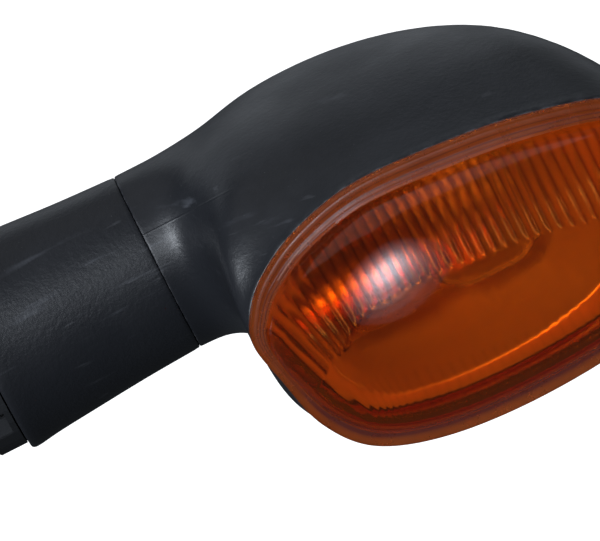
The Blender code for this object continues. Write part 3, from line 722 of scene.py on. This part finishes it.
def make_leads():
    """The two leads, from the grommet through the arm to the lamp."""
    shared = [(1.0, -6.5), (12.0, -6.5), (17.0, -5.6), (23.5, -3.6), (32.0, -0.9), (40.0, 0.0)]
    live = [(x, LEAD_SPACING, z) for x, z in shared] + [
        (47.0, 1.3, 0.3),
        (50.5, 3.8, 1.2),
        (52.6, 9.0, 0.6),
        (53.2, 14.5, -1.8),
        (53.3, 18.8, -5.6),
        (53.4, 21.2, -9.3),
    ]
    earth = [(x, -LEAD_SPACING, z) for x, z in shared] + [
        (47.5, -1.6, 0.0),
        (51.8, -3.8, -1.6),
        (52.3, -6.3, -4.8),
        (50.9, -7.2, -9.2),
    ]
    for name, route, look, slot in (
        ("live_lead", live, "live", "live_cover"),
        ("earth_lead", earth, "earth", "earth_cover"),
    ):
        places = [at(*place) for place in smooth_through(route, 6)]
        lead = pipe(name + "_cover", places, LEAD_RADIUS, 16)
        place_piece(lead, LOOKS[look], None, name, slot=slot)
        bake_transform(lead)


# --- the housing -------------------------------------------------------------------------------


def housing_ring(section, inset):
    """One housing section in its own upright plane through the fold line at the neck's start."""
    degrees, near, far, bottom, top, share, squareness = section
    angle = math.radians(degrees)
    box = (near + inset, far - inset, bottom + inset, top - inset)
    ring = []
    for reach, up in boxed_ring(*box, max(share, 0.0), squareness):
        outwards = NECK_START + reach * math.sin(angle)
        ring.append(at(outwards, HOUSING_RIM - reach * math.cos(angle), up))
    return ring


def make_housing():
    """The black shell, swept from its oval neck to the lens's outline, with a post and ribs inside."""
    sections = smooth_through(HOUSING_SECTIONS, 6)
    neck = sections[0][1:]
    worn = []
    rings = []

    def add_ring(ring, wear):
        rings.append(ring)
        worn.append(wear)

    for degrees, inset, wear in ((0.0, 0.22, 0.8), (0.2, 0.07, 0.5), (0.5, 0.0, 0.0)):
        add_ring(housing_ring((degrees, *neck), inset), wear)
    for section in sections[1:-1]:
        add_ring(housing_ring(section, 0.0), 0.0)
    worn[-1] = 0.15
    for inset, back, wear in (
        (0.0, 0.2, 0.4), (0.07, 0.06, 0.8), (0.24, 0.0, 1.0), (WALL - 0.2, 0.0, 0.0), (WALL, 0.2, 0.0),
    ):
        add_ring(rim_ring(inset, HOUSING_RIM - back), wear)
    for section in reversed(sections[:-1]):
        add_ring(housing_ring(section, WALL), 0.0)
    shell = loft("housing_shell", rings, joined=True, smooth_angle=50.0, worn=worn)

    bulkhead = loft("housing_bulkhead", [oval_ring(45.0, 16.3, 14.0), oval_ring(47.0, 16.3, 14.0)])
    combine(shell, bulkhead, "UNION")
    post = at(LENS_SCREW_X, 0, LENS_SCREW_Z)
    combine(shell, rod(POST_RADIUS, 12.0, 38.0, post, "forward"), "UNION")
    drill(shell, 4.5, 44.0, 48.0, at(0, 0, 0), "outwards")
    for up in (9.0, -9.0):
        drill(shell, 1.9, 44.0, 48.0, at(0, 0, up), "outwards", 32)
    drill(shell, POST_BORE, 24.0, 39.0, post, "forward", 32)
    place_piece(shell, LOOKS["housing"], "head", "housing", slot="housing_plastic")
    for spot in (35.0, 62.0):
        heights = [z for x, z in OUTLINE if abs(x - spot) < 0.6]
        left = NECK_START + spot - 0.9
        for side, low, high in (
            ("upper", max(heights) - 5.5, max(heights) - 0.6),
            ("lower", min(heights) + 2.2, min(heights) + 5.5),
        ):
            rib = slab((left, 30.0, low), (left + 1.8, 34.8, high))
            rib.name = f"housing_rib_{side}_{int(spot)}"
            rib.data.name = rib.name
            round_edges(rib, 0.25)
            place_piece(rib, LOOKS["housing"], "head", slot="housing_plastic")


# --- the lens ----------------------------------------------------------------------------------


def border_at(angle):
    """How wide the flat border is, from the outline to the dome's foot."""
    return BORDER_SIDE + (BORDER_TOP - BORDER_SIDE) * abs(math.sin(angle))


def dome_base(angle, inner):
    """The dome's foot, outside or inside."""
    return rim_place(angle, border_at(angle) + (LENS_WALL if inner else 0.0))


def lens_columns():
    """The ring angles at the upper and lower end of each column of the lens, from left to right."""
    steps = 2880
    spacing = 0.25
    turns = [math.tau * k / steps for k in range(steps)]
    table = [(dome_base(turn, True).x, turn) for turn in turns]
    left, left_angle = min(table)
    right, right_angle = max(table)
    upper = sorted((x, a) for x, a in table if a <= left_angle or a > math.radians(330))
    upper = [(x, a - math.tau if a > math.pi * 1.5 else a) for x, a in upper]
    if right_angle > math.pi:
        right_angle -= math.tau
    upper = sorted((x, a) for x, a in upper if a >= right_angle)
    twice = table + [(x, a + math.tau) for x, a in table]
    lower = sorted((x, a) for x, a in twice if left_angle <= a <= right_angle + math.tau)
    edge = [0.0, 0.012, 0.04, 0.09, 0.16]
    start = math.ceil((left + 0.2) / spacing) * spacing
    columns = [left + step for step in edge]
    while start < right - 0.2:
        columns.append(start)
        start += spacing
    columns += [right - step for step in reversed(edge)]
    return columns, [between(upper, x) for x in columns], [between(lower, x) for x in columns]


def flute_at(x, z):
    """At a place: how far a flute stands out, how deep in a groove it is (for the painted shade in the
    grooves), and how fluted. All 0 to 1.
    """
    line = x
    for _ in range(3):
        lean = -0.34 * (1 - step_up(line, 14.0, 31.0))
        line = x - lean * (z + 5.0)
    ridge = abs(math.sin(math.pi * line / FLUTE_PITCH))
    top = between(EYE_TOP, x)
    bottom = between(EYE_BOTTOM, x)
    above = step_up(z, top - 0.15, top + 0.45)
    below = step_up(bottom - z, -0.15, 0.6) * 0.16
    beyond = step_up(x, 83.6, 84.4) + step_up(15.8 - x, -0.2, 0.4)
    share = min(max(above, below, beyond), 1.0)
    return ridge * share, (1 - ridge) ** 1.4 * share, share


def dome_grid(columns, angles_up, angles_down, inner, rows):
    """Rows of places on the lens's dome, from its lower edge to its upper edge."""
    base = LENS_FACE
    height = DOME_HEIGHT
    if inner:
        base = RIM_FORWARD
        height = DOME_HEIGHT + LENS_FACE - RIM_FORWARD - LENS_WALL
    middle = Vector(RIM_MIDDLE)
    outline = [dome_base(math.tau * k / 1440, inner) - middle for k in range(1440)]
    reach = round_table([(p.x, p.y) for p in outline])
    ends = []
    for low, high in zip(angles_down, angles_up):
        ends.append((dome_base(low, inner), dome_base(high, inner)))
    grid = []
    for row in range(rows + 1):
        turn = math.cos(math.pi * row / rows)
        share = -math.copysign(abs(turn) ** (2 / DOME_POWER), turn)
        places = []
        for low, high in ends:
            place = (low + high) / 2 + (high - low) / 2 * share
            offset = place - middle
            spread = offset.length / reach_in(reach, math.atan2(offset.y, offset.x))
            if row in (0, rows) or (high - low).length < 1e-6:
                spread = 1.0
            rise = max(1 - min(spread, 1.0) ** DOME_POWER, 0.0) ** (1 / DOME_POWER)
            places.append((NECK_START + place.x, base + height * rise, place.y, rise))
        grid.append(places)
    return grid


def fluted(grid):
    """The rows with flutes standing out of them, each place's groove depth for the painted shade in the
    grooves, and its frosting.
    """
    rows = len(grid)
    count = len(grid[0])
    result = []
    groove_shades = []
    frosting = []
    for j in range(rows):
        line = []
        for k in range(count):
            x, forward, z, rise = grid[j][k]
            place = at(x, forward, z)
            ridge, groove, share = flute_at(x - NECK_START, z)
            fade = step_up(rise, 0.02, 0.30)
            groove_shades.append(groove * fade)
            frosting.append(share * fade)
            if 0 < j < rows - 1 and 0 < k < count - 1:
                across = at(*grid[j][k + 1][:3]) - at(*grid[j][k - 1][:3])
                upward = at(*grid[j + 1][k][:3]) - at(*grid[j - 1][k][:3])
                normal = across.cross(upward)
                if normal.length > 0:
                    normal.normalize()
                    if normal.y > 0:
                        normal = -normal
                    place = place - normal * FLUTE_DEPTH * ridge * fade * MM
            line.append(place)
        result.append(line)
    return result, groove_shades, frosting


def make_lens():
    """The amber lens: a smooth dome fluted inside, a stepped border, and the skirt behind it."""
    columns, angles_up, angles_down = lens_columns()
    outer = dome_grid(columns, angles_up, angles_down, False, 44)
    inner = dome_grid(columns, angles_up, angles_down, True, 84)
    front = sheet("lens_dome", [[at(*place[:3]) for place in row] for row in outer])
    rows, groove_shades, frosting = fluted(inner)
    back = sheet("lens_flutes", rows)
    # painted shade: the grooves' depth darkens the amber in the lens's colour
    mark(back, "groove", groove_shades)
    mark(back, "frost", frosting)

    angles = angles_up + angles_down[-2:0:-1]

    def base_ring(inner_side, forward):
        places = [dome_base(angle, inner_side) for angle in angles]
        return [at(NECK_START + place.x, forward, place.y) for place in places]

    def border_ring(share, drop):
        """A ring on the border, from the dome at share 1 to the edge at 0, stepped along the top."""
        ring = []
        for angle in angles:
            place = rim_place(angle, 0.8 + (border_at(angle) - 0.8) * share)
            stepped = step_up(math.sin(angle), -0.2, 0.35)
            sunk = drop * stepped + (1 - share) * 0.26 * (1 - stepped)
            ring.append(at(NECK_START + place.x, LENS_FACE - sunk, place.y))
        return ring

    rings = [base_ring(False, LENS_FACE)]
    # share of the border, sunk along the top, painted shade along the top and painted shade along the
    # bottom
    steps = (
        (0.86, 0.0, 0.0, 0.2), (0.80, 0.16, 0.8, 0.9), (0.72, 0.17, 0.1, 1.0), (0.56, 0.18, 0.0, 1.0),
        (0.50, 0.32, 0.8, 0.9), (0.42, 0.33, 0.1, 0.5), (0.26, 0.34, 0.0, 0.1), (0.20, 0.24, 0.6, 0.0),
        (0.12, 0.25, 0.0, 0.0), (0.0, 0.26, 0.0, 0.0),
    )
    lower = [step_up(-math.sin(angle), -0.1, 0.4) for angle in angles]
    band_shades = [[0.0] * len(angles)]
    for share, drop, shade_top, shade_bottom in steps:
        rings.append(border_ring(share, drop))
        band_shades.append([shade_top * (1 - low) + shade_bottom * low for low in lower])
    for inset, forward in (
        (0.45, 41.99), (0.18, 41.80), (0.03, 41.45), (0.0, 41.2), (0.0, 40.25), (0.1, 40.06),
        (0.3, 40.0), (2.7, 40.0), (2.7, 38.5), (2.8, 38.35), (2.95, SKIRT_TIP), (3.65, SKIRT_TIP),
        (3.8, 38.35), (3.9, 38.5), (3.9, 40.0),
    ):
        rings.append(rim_ring(inset, forward, angles))
    rings.append(base_ring(True, RIM_FORWARD))
    band_shades += [[0.0] * len(angles)] * (len(rings) - len(band_shades))
    edge = sheet("lens_edge", rings, around=True)
    # painted shade on the border, read by its material
    mark(edge, "band", [value for row in band_shades for value in row + row[:1]])
    for piece, look in ((front, "amber"), (back, "amber"), (edge, "border")):
        piece.data.materials.append(LOOKS[look])
    deselect()
    for piece in (front, back, edge):
        piece.select_set(True)
    bpy.context.view_layer.objects.active = front
    bpy.ops.object.join()
    lens = name_piece("lens_cover")
    close_up(lens, smooth_angle=42.0)
    screw = at(LENS_SCREW_X, 0, LENS_SCREW_Z)
    combine(lens, rod(4.8, 40.35, 46.3, screw, "forward", 96), "UNION")
    drill(lens, 3.4, 41.6, 60.0, screw, "forward", 96)
    drill(lens, 1.9, 38.0, 43.0, screw, "forward", 48)
    smooth(lens, 42)
    place_piece(lens, None, "lens", "lens", slot="lens_amber")
    lens.visible_shadow = False


# --- the reflector and the seal ----------------------------------------------------------------

LAMP = at(0, LAMP_FORWARD, LAMP_Z)


def bowl_ring(forward, near, far, bottom, top, share=1.0):
    """A ring of the bowl at one depth, drawn in towards its middle by a share."""
    middle_x = (near + far) / 2
    middle_z = (bottom + top) / 2
    ring = []
    for x, z in boxed_ring(near, far, bottom, top, 1.0, 2.0):
        outwards = NECK_START + middle_x + (x - middle_x) * share
        ring.append(at(outwards, forward, middle_z + (z - middle_z) * share))
    return ring


def make_reflector():
    """The silvered bowl, with its flange and the holes for the socket and for the screw's post."""
    rings = [rim_ring(SEAT_INSET, REFLECTOR_FRONT)]
    _, near, far, bottom, top = BOWL_LEVELS[0]
    for forward, grow in ((REFLECTOR_FRONT, 0.6), (REFLECTOR_FRONT - 0.15, 0.2)):
        rings.append(bowl_ring(forward, near - grow, far + grow, bottom - grow, top + grow))
    rings += [bowl_ring(*level) for level in smooth_through(BOWL_LEVELS, 8)[1:]]
    floor = BOWL_LEVELS[-1]
    rings += [bowl_ring(*floor, share) for share in (0.9, 0.7, 0.4, 0.1)]
    middle = at(NECK_START + (floor[1] + floor[2]) / 2, floor[0], (floor[3] + floor[4]) / 2)
    bowl = sheet("reflector_bowl", rings, around=True)
    make_active(bowl)
    bpy.ops.object.mode_set(mode="EDIT")
    bpy.ops.mesh.select_all(action="SELECT")
    bpy.ops.mesh.remove_doubles(threshold=0.000002)
    bpy.ops.mesh.select_all(action="DESELECT")
    bpy.ops.object.mode_set(mode="OBJECT")
    for vertex in bowl.data.vertices:
        vertex.select = (vertex.co - middle).length < 0.0045
    bpy.ops.object.mode_set(mode="EDIT")
    bpy.ops.mesh.edge_face_add()
    bpy.ops.mesh.select_all(action="SELECT")
    bpy.ops.mesh.normals_make_consistent(inside=False)
    bpy.ops.object.mode_set(mode="OBJECT")
    wall = bowl.modifiers.new("wall", "SOLIDIFY")
    wall.thickness = REFLECTOR_SHEET * MM
    wall.offset = -1.0
    apply_change(bowl, wall)
    drill(bowl, SHELL_OUTER + 0.7, NECK_START, NECK_START + 38, LAMP, "outwards", 96)
    drill(bowl, POST_RADIUS + 0.7, 30.0, 40.0, at(LENS_SCREW_X, 0, LENS_SCREW_Z), "forward", 64)
    smooth(bowl, 40)
    place_piece(bowl, LOOKS["silver"], "head", "reflector", slot="reflector_silver")


def make_gasket():
    """The seal under the lens's skirt, rounded along its edges."""
    back = REFLECTOR_FRONT + 0.3
    front = back + SEAL_HEIGHT
    inner = SEAT_INSET + SEAL_WIDTH
    rings = []
    for inset, forward in (
        (SEAT_INSET, back), (SEAT_INSET, front - 0.3), (SEAT_INSET + 0.1, front - 0.1),
        (SEAT_INSET + 0.35, front), (inner - 0.35, front), (inner - 0.1, front - 0.1),
        (inner, front - 0.3), (inner, back),
    ):
        rings.append(rim_ring(inset, forward))
    gasket = loft("lens_seal", rings, joined=True)
    place_piece(gasket, LOOKS["seal"], "head", "lens_gasket", slot="seal_rubber")


# --- the lamp ----------------------------------------------------------------------------------


def make_bulb():
    """The bulb's glass, cap and small pieces."""
    profile = []
    for stretch in (
        [(104.3, 0.0), (104.1, 2.4), (103.4, 5.2), (102.0, 7.6), (100.0, 9.0), (97.6, 9.5)],
        [(90.0, 9.5), (87.8, 9.1), (86.0, 8.0), (84.6, 6.8), (83.4, 6.5), (72.0, 6.5)],
        [(72.0, 5.7), (83.2, 5.7), (84.9, 6.1), (86.4, 7.2), (88.0, 8.3), (90.0, 8.7)],
        [(97.6, 8.7), (99.7, 8.2), (101.5, 6.9), (102.7, 4.7), (103.3, 2.2), (103.5, 0.0)],
    ):
        profile += smooth_through(stretch, 5)
    glass = turned("bulb_envelope", profile, LAMP, "outwards", smooth_angle=60.0)
    place_piece(glass, LOOKS["glass"], "bulb", "bulb_glass", slot="bulb_glass")

    cap = turned(
        "bulb_cap_shell",
        [
            (83.9, 7.5), (83.9, 6.9), (69.5, 6.9), (69.5, 3.9), (68.9, 3.9), (68.9, 6.6), (69.05, 7.1),
            (69.5, 7.4), (70.2, 7.5), (71.4, 7.5), (71.6, 7.3), (72.2, 7.3), (72.4, 7.5), (82.4, 7.5),
            (82.7, 7.35), (83.3, 7.35), (83.6, 7.5),
        ],
        LAMP,
        "outwards",
        joined=True,
    )
    place_piece(cap, LOOKS["brass"], "bulb", "bulb_cap", slot="brass")

    stem = turned(
        "bulb_stem",
        smooth_through(
            [
                (89.0, 0.0), (88.9, 1.2), (88.2, 2.0), (86.8, 2.3), (83.0, 2.0), (79.5, 2.2),
                (76.0, 4.2), (74.4, 5.2),
            ],
            4,
        )
        + [(73.6, 5.2), (73.6, 0.0)],
        LAMP,
        "outwards",
        sides=32,
        smooth_angle=60.0,
    )
    place_piece(stem, LOOKS["glass"], "bulb", "glass_stem", slot="bulb_glass")

    for side, sign in (("front", 1), ("rear", -1)):
        route = [(89.3, 1.1), (90.6, 1.25), (92.0, 1.6), (93.8, 2.7), (95.5, 4.2)]
        places = [at(x, LAMP_FORWARD + sign * f, LAMP_Z) for x, f in smooth_through(route, 4)]
        post = pipe(f"filament_wire_{side}", places, 0.3, 10)
        place_piece(post, LOOKS["steel"], "bulb", f"filament_post_{side}", slot="plated_steel")

    coil = []
    turns = 26
    per_turn = 10
    half_width = 4.0
    arch = 1.6
    up = Vector((0, 0, 1))
    for k in range(turns * per_turn + 1):
        share = -1 + 2 * k / (turns * per_turn)
        a = math.tau * k / per_turn
        middle = at(96.3 + arch * (1 - share**2), LAMP_FORWARD + half_width * share, LAMP_Z)
        along = at(-2 * arch * share, half_width, 0).normalized()
        side = along.cross(up)
        coil.append(middle + (side * math.cos(a) + up * math.sin(a)) * 0.27 * MM)
    filament = pipe("filament_coil", coil, 0.07, 6)
    place_piece(filament, LOOKS["tungsten"], "bulb", "filament", slot="filament_metal")


def make_spring():
    """The coil behind the socket's contact, which shortens as the bulb is pushed in."""
    places = []
    turns = 3
    steps = 36
    radius = 5.0
    length = 3.85
    for k in range(turns * steps + 1):
        a = math.tau * k / steps
        along = 60.1 + length * k / (turns * steps)
        places.append(at(along, radius * math.cos(a), radius * math.sin(a)) + LAMP)
    spring = pipe("contact_coil", places, 0.45, 12)
    place_piece(spring, LOOKS["steel"], "head", "contact_spring", slot="plated_steel")
    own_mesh(spring)


def make_lens_screw():
    """The lens's screw: a pan head with a cross recess and a threaded shank."""
    place = at(LENS_SCREW_X, 0, LENS_SCREW_Z)
    sides = 48
    rings = []
    for along, radius in (
        (44.9, 0.05), (44.9, 1.0), (44.84, 1.6), (44.68, 2.1), (44.4, 2.52), (44.0, 2.8), (43.6, 2.9),
        (43.1, 2.9), (43.0, 2.8), (43.0, 1.5), (42.2, 1.5),
    ):
        rings.append(round_ring(along, radius, place, "forward", sides))
    along = 42.0
    while along > 27.0:
        ring = []
        for k in range(sides):
            a = math.tau * k / sides
            turn = (along / SCREW_PITCH + k / sides) % 1.0
            crest = max(0.0, 1 - abs(turn - 0.5) * 3.2)
            radius = 1.16 + 0.34 * crest * step_up(42.0 - along, 0.0, 0.8)
            ring.append(at(radius * math.cos(a), along, radius * math.sin(a)) + place)
        rings.append(ring)
        along -= SCREW_PITCH / 12
    for along, radius in ((26.6, 0.8), (26.0, 0.25)):
        rings.append(round_ring(along, radius, place, "forward", sides))
    screw = loft("lens_screw_threaded", rings, smooth_angle=40.0)
    for turn in (0.0, math.pi / 2):
        deselect()
        bpy.ops.mesh.primitive_cube_add(size=1)
        arm = bpy.context.object
        arm.scale = (3.4 * MM, 2.4 * MM, 0.62 * MM)
        arm.rotation_euler = (0, turn + math.pi / 4, 0)
        arm.location = place + at(0, 44.95, 0)
        bpy.ops.object.transform_apply(location=True, rotation=True, scale=True)
        combine(screw, arm, "DIFFERENCE")
    smooth(screw, 40)
    place_piece(screw, LOOKS["steel"], "lens_screw", "lens_screw", slot="plated_steel")


make_rubber_arm()
make_leads()
make_housing()
make_lens()
make_reflector()
make_gasket()
make_bulb()
make_spring()
make_lens_screw()

# --- materials of the pieces that stay as they are ---------------------------------------------

KEPT = {
    "foot": ["mounting_foot", "neck_plug"],
    "seal": ["cable_grommet", "screw_seal"],
    "steel": ["neck_screw_upper", "neck_screw_lower", "lamp_bracket"],
    "brass": [
        "threaded_insert", "earth_terminal", "holder_shell", "centre_contact", "bayonet_pin_upper",
        "bayonet_pin_lower",
    ],
    "phenolic": ["holder_insulator", "contact_disc"],
    "black_glass": ["cap_insulator"],
    "solder": ["solder_contact"],
}
for look, names in KEPT.items():
    for name in names:
        for material_slot in NODES[name].material_slots:
            material_slot.material = LOOKS[look]

# --- floor, lights and camera ------------------------------------------------------------------

AIM = Vector((0.075, -0.02, -0.005))
WHITE = (1.0, 1.0, 1.0)
COOL = (0.86, 0.92, 1.0)
# how the names of the pieces behind the lens start
INNER = (
    "reflector", "bulb", "filament", "holder", "contact", "cap_", "solder", "bayonet", "lens_seal",
)


def make_floor():
    """A wide pale floor under the object."""
    deselect()
    bpy.ops.mesh.primitive_plane_add(size=60, location=(0, 0, -0.35))
    floor = name_piece("floor")
    look = Finish("pale_floor", (0.9, 0.9, 0.9), 0.9)
    look.shader.inputs["Emission Color"].default_value = (1.0, 1.0, 1.0, 1.0)
    look.shader.inputs["Emission Strength"].default_value = 1.0
    floor.data.materials.append(look.material)
    floor.visible_diffuse = False
    floor.visible_glossy = False
    floor.visible_transmission = False


def add_light(name, way, away, size, glow, height=None, only=None, colour=WHITE, shape="RECTANGLE"):
    """A lamp that looks at the object, round unless it has a height. Its glow is its own brightness."""
    place = AIM + Vector(way).normalized() * away
    deselect()
    bpy.ops.object.light_add(type="AREA", location=place)
    light = bpy.context.object
    light.name = name
    light.data.shape = shape if height else "DISK"
    light.data.size = size
    light.data.size_y = height or size
    area = size * height if height else math.pi * size * size / 4
    light.data.energy = glow * math.pi * area
    light.rotation_mode = "QUATERNION"
    light.rotation_quaternion = (AIM - place).to_track_quat("-Z", "Y")
    light.visible_camera = False
    light.data.color = colour
    if only:
        light.light_linking.receiver_collection = only
    return light


def group_of(name, pieces):
    """A collection that a lamp can be kept to."""
    group = bpy.data.collections.new(name)
    for piece in pieces:
        group.objects.link(piece)
    return group


def make_world():
    """A dim cool room that is white behind the object."""
    world = bpy.data.worlds.new("studio")
    bpy.context.scene.world = world
    world.use_nodes = True
    nodes = world.node_tree.nodes
    join = world.node_tree.links.new
    around = nodes["Background"]
    around.inputs["Color"].default_value = (0.80, 0.90, 1.0, 1.0)
    around.inputs["Strength"].default_value = 0.05
    backdrop = nodes.new("ShaderNodeBackground")
    choice = nodes.new("ShaderNodeMixShader")
    join(nodes.new("ShaderNodeLightPath").outputs["Is Camera Ray"], choice.inputs["Fac"])
    join(around.outputs["Background"], choice.inputs[1])
    join(backdrop.outputs["Background"], choice.inputs[2])
    join(choice.outputs["Shader"], nodes["World Output"].inputs["Surface"])


def make_lights():
    """Lamps for the solid pieces, for the clear lens and for what is behind it."""
    meshes = [o for o in bpy.data.objects if o.type == "MESH"]
    lens = [o for o in meshes if o.name.startswith("lens_cover")]
    inner = [o for o in meshes if o.name.startswith(INNER)]
    solids = group_of("lit_solids", [o for o in meshes if o not in lens and o not in inner])
    clears = group_of("lit_lens", lens)
    insides = group_of("lit_insides", inner)
    for *shape, group, colour in (
        ("back_box", (-0.10, 0.85, 0.45), 1.2, 1.1, 0.50, 0.6, solids, COOL),
        ("overhead", (-0.10, 0.10, 1.0), 1.2, 1.3, 0.32, 1.0, None, WHITE),
        ("key_strip", (-0.42, -0.76, 0.43), 1.2, 1.0, 12.0, 0.20, solids, COOL),
        ("side_lamp", (-0.80, -0.55, 0.40), 1.2, 0.40, 28.0, 0.26, solids, COOL),
        ("rear_fill", (0.30, 0.95, 0.12), 1.3, 0.9, 0.28, 0.6, solids, COOL),
        ("outer_fill", (0.95, 0.10, 0.22), 1.3, 0.7, 0.8, 0.5, solids, COOL),
        ("front_box", (0.05, -0.90, 0.40), 1.3, 0.9, 0.7, 0.6, solids, COOL),
        ("inside_lamp", (-0.25, -0.85, 0.55), 1.2, 0.26, 38.0, None, insides, WHITE),
        ("inside_box", (0.10, -0.95, 0.05), 1.3, 1.6, 0.46, 1.6, insides, WHITE),
    ):
        add_light(*shape, only=group, colour=colour)
    for name, size, glow in (
        ("glow_core", 0.11, 3.5), ("glow_near", 0.17, 3.0), ("glow_middle", 0.24, 2.4),
        ("glow_wide", 0.34, 1.3), ("glow_haze", 0.46, 0.7), ("glow_edge", 0.62, 0.4),
        ("glow_far", 0.82, 0.25),
    ):
        add_light(
            name,
            (-0.15, -0.95, 0.12),
            1.2 + size,
            size,
            glow,
            size * 2.3,
            only=clears,
            colour=(0.80, 0.87, 1.0),
            shape="ELLIPSE",
        )


def make_camera():
    """A long lens that looks down a little, rolled so that the arm rises to the right."""
    elevation = math.radians(22)
    roll = math.radians(27)
    look_at = Vector((0.063, -0.00484, -0.01196))
    distance = 1.5
    frame_width = 0.1071
    view_up = Vector((0, math.sin(elevation), math.cos(elevation)))
    view_way = Vector((0, math.cos(elevation), -math.sin(elevation)))
    camera_up = Vector((math.sin(roll), 0, 0)) + view_up * math.cos(roll)
    camera_right = Vector((math.cos(roll), 0, 0)) - view_up * math.sin(roll)
    deselect()
    bpy.ops.object.camera_add(location=look_at - view_way * distance)
    camera = bpy.context.object
    camera.name = "camera"
    camera.data.sensor_width = 36.0
    camera.data.lens = 36.0 * distance / frame_width
    camera.data.clip_start = 0.05
    camera.data.clip_end = 200.0
    camera.rotation_mode = "QUATERNION"
    turn = Matrix((camera_right, camera_up, -view_way)).transposed()
    camera.rotation_quaternion = turn.to_quaternion()
    bpy.context.scene.camera = camera
    bpy.context.scene.view_settings.view_transform = "Standard"
    bpy.context.scene.view_settings.look = "None"


make_floor()
make_world()
make_lights()
make_camera()
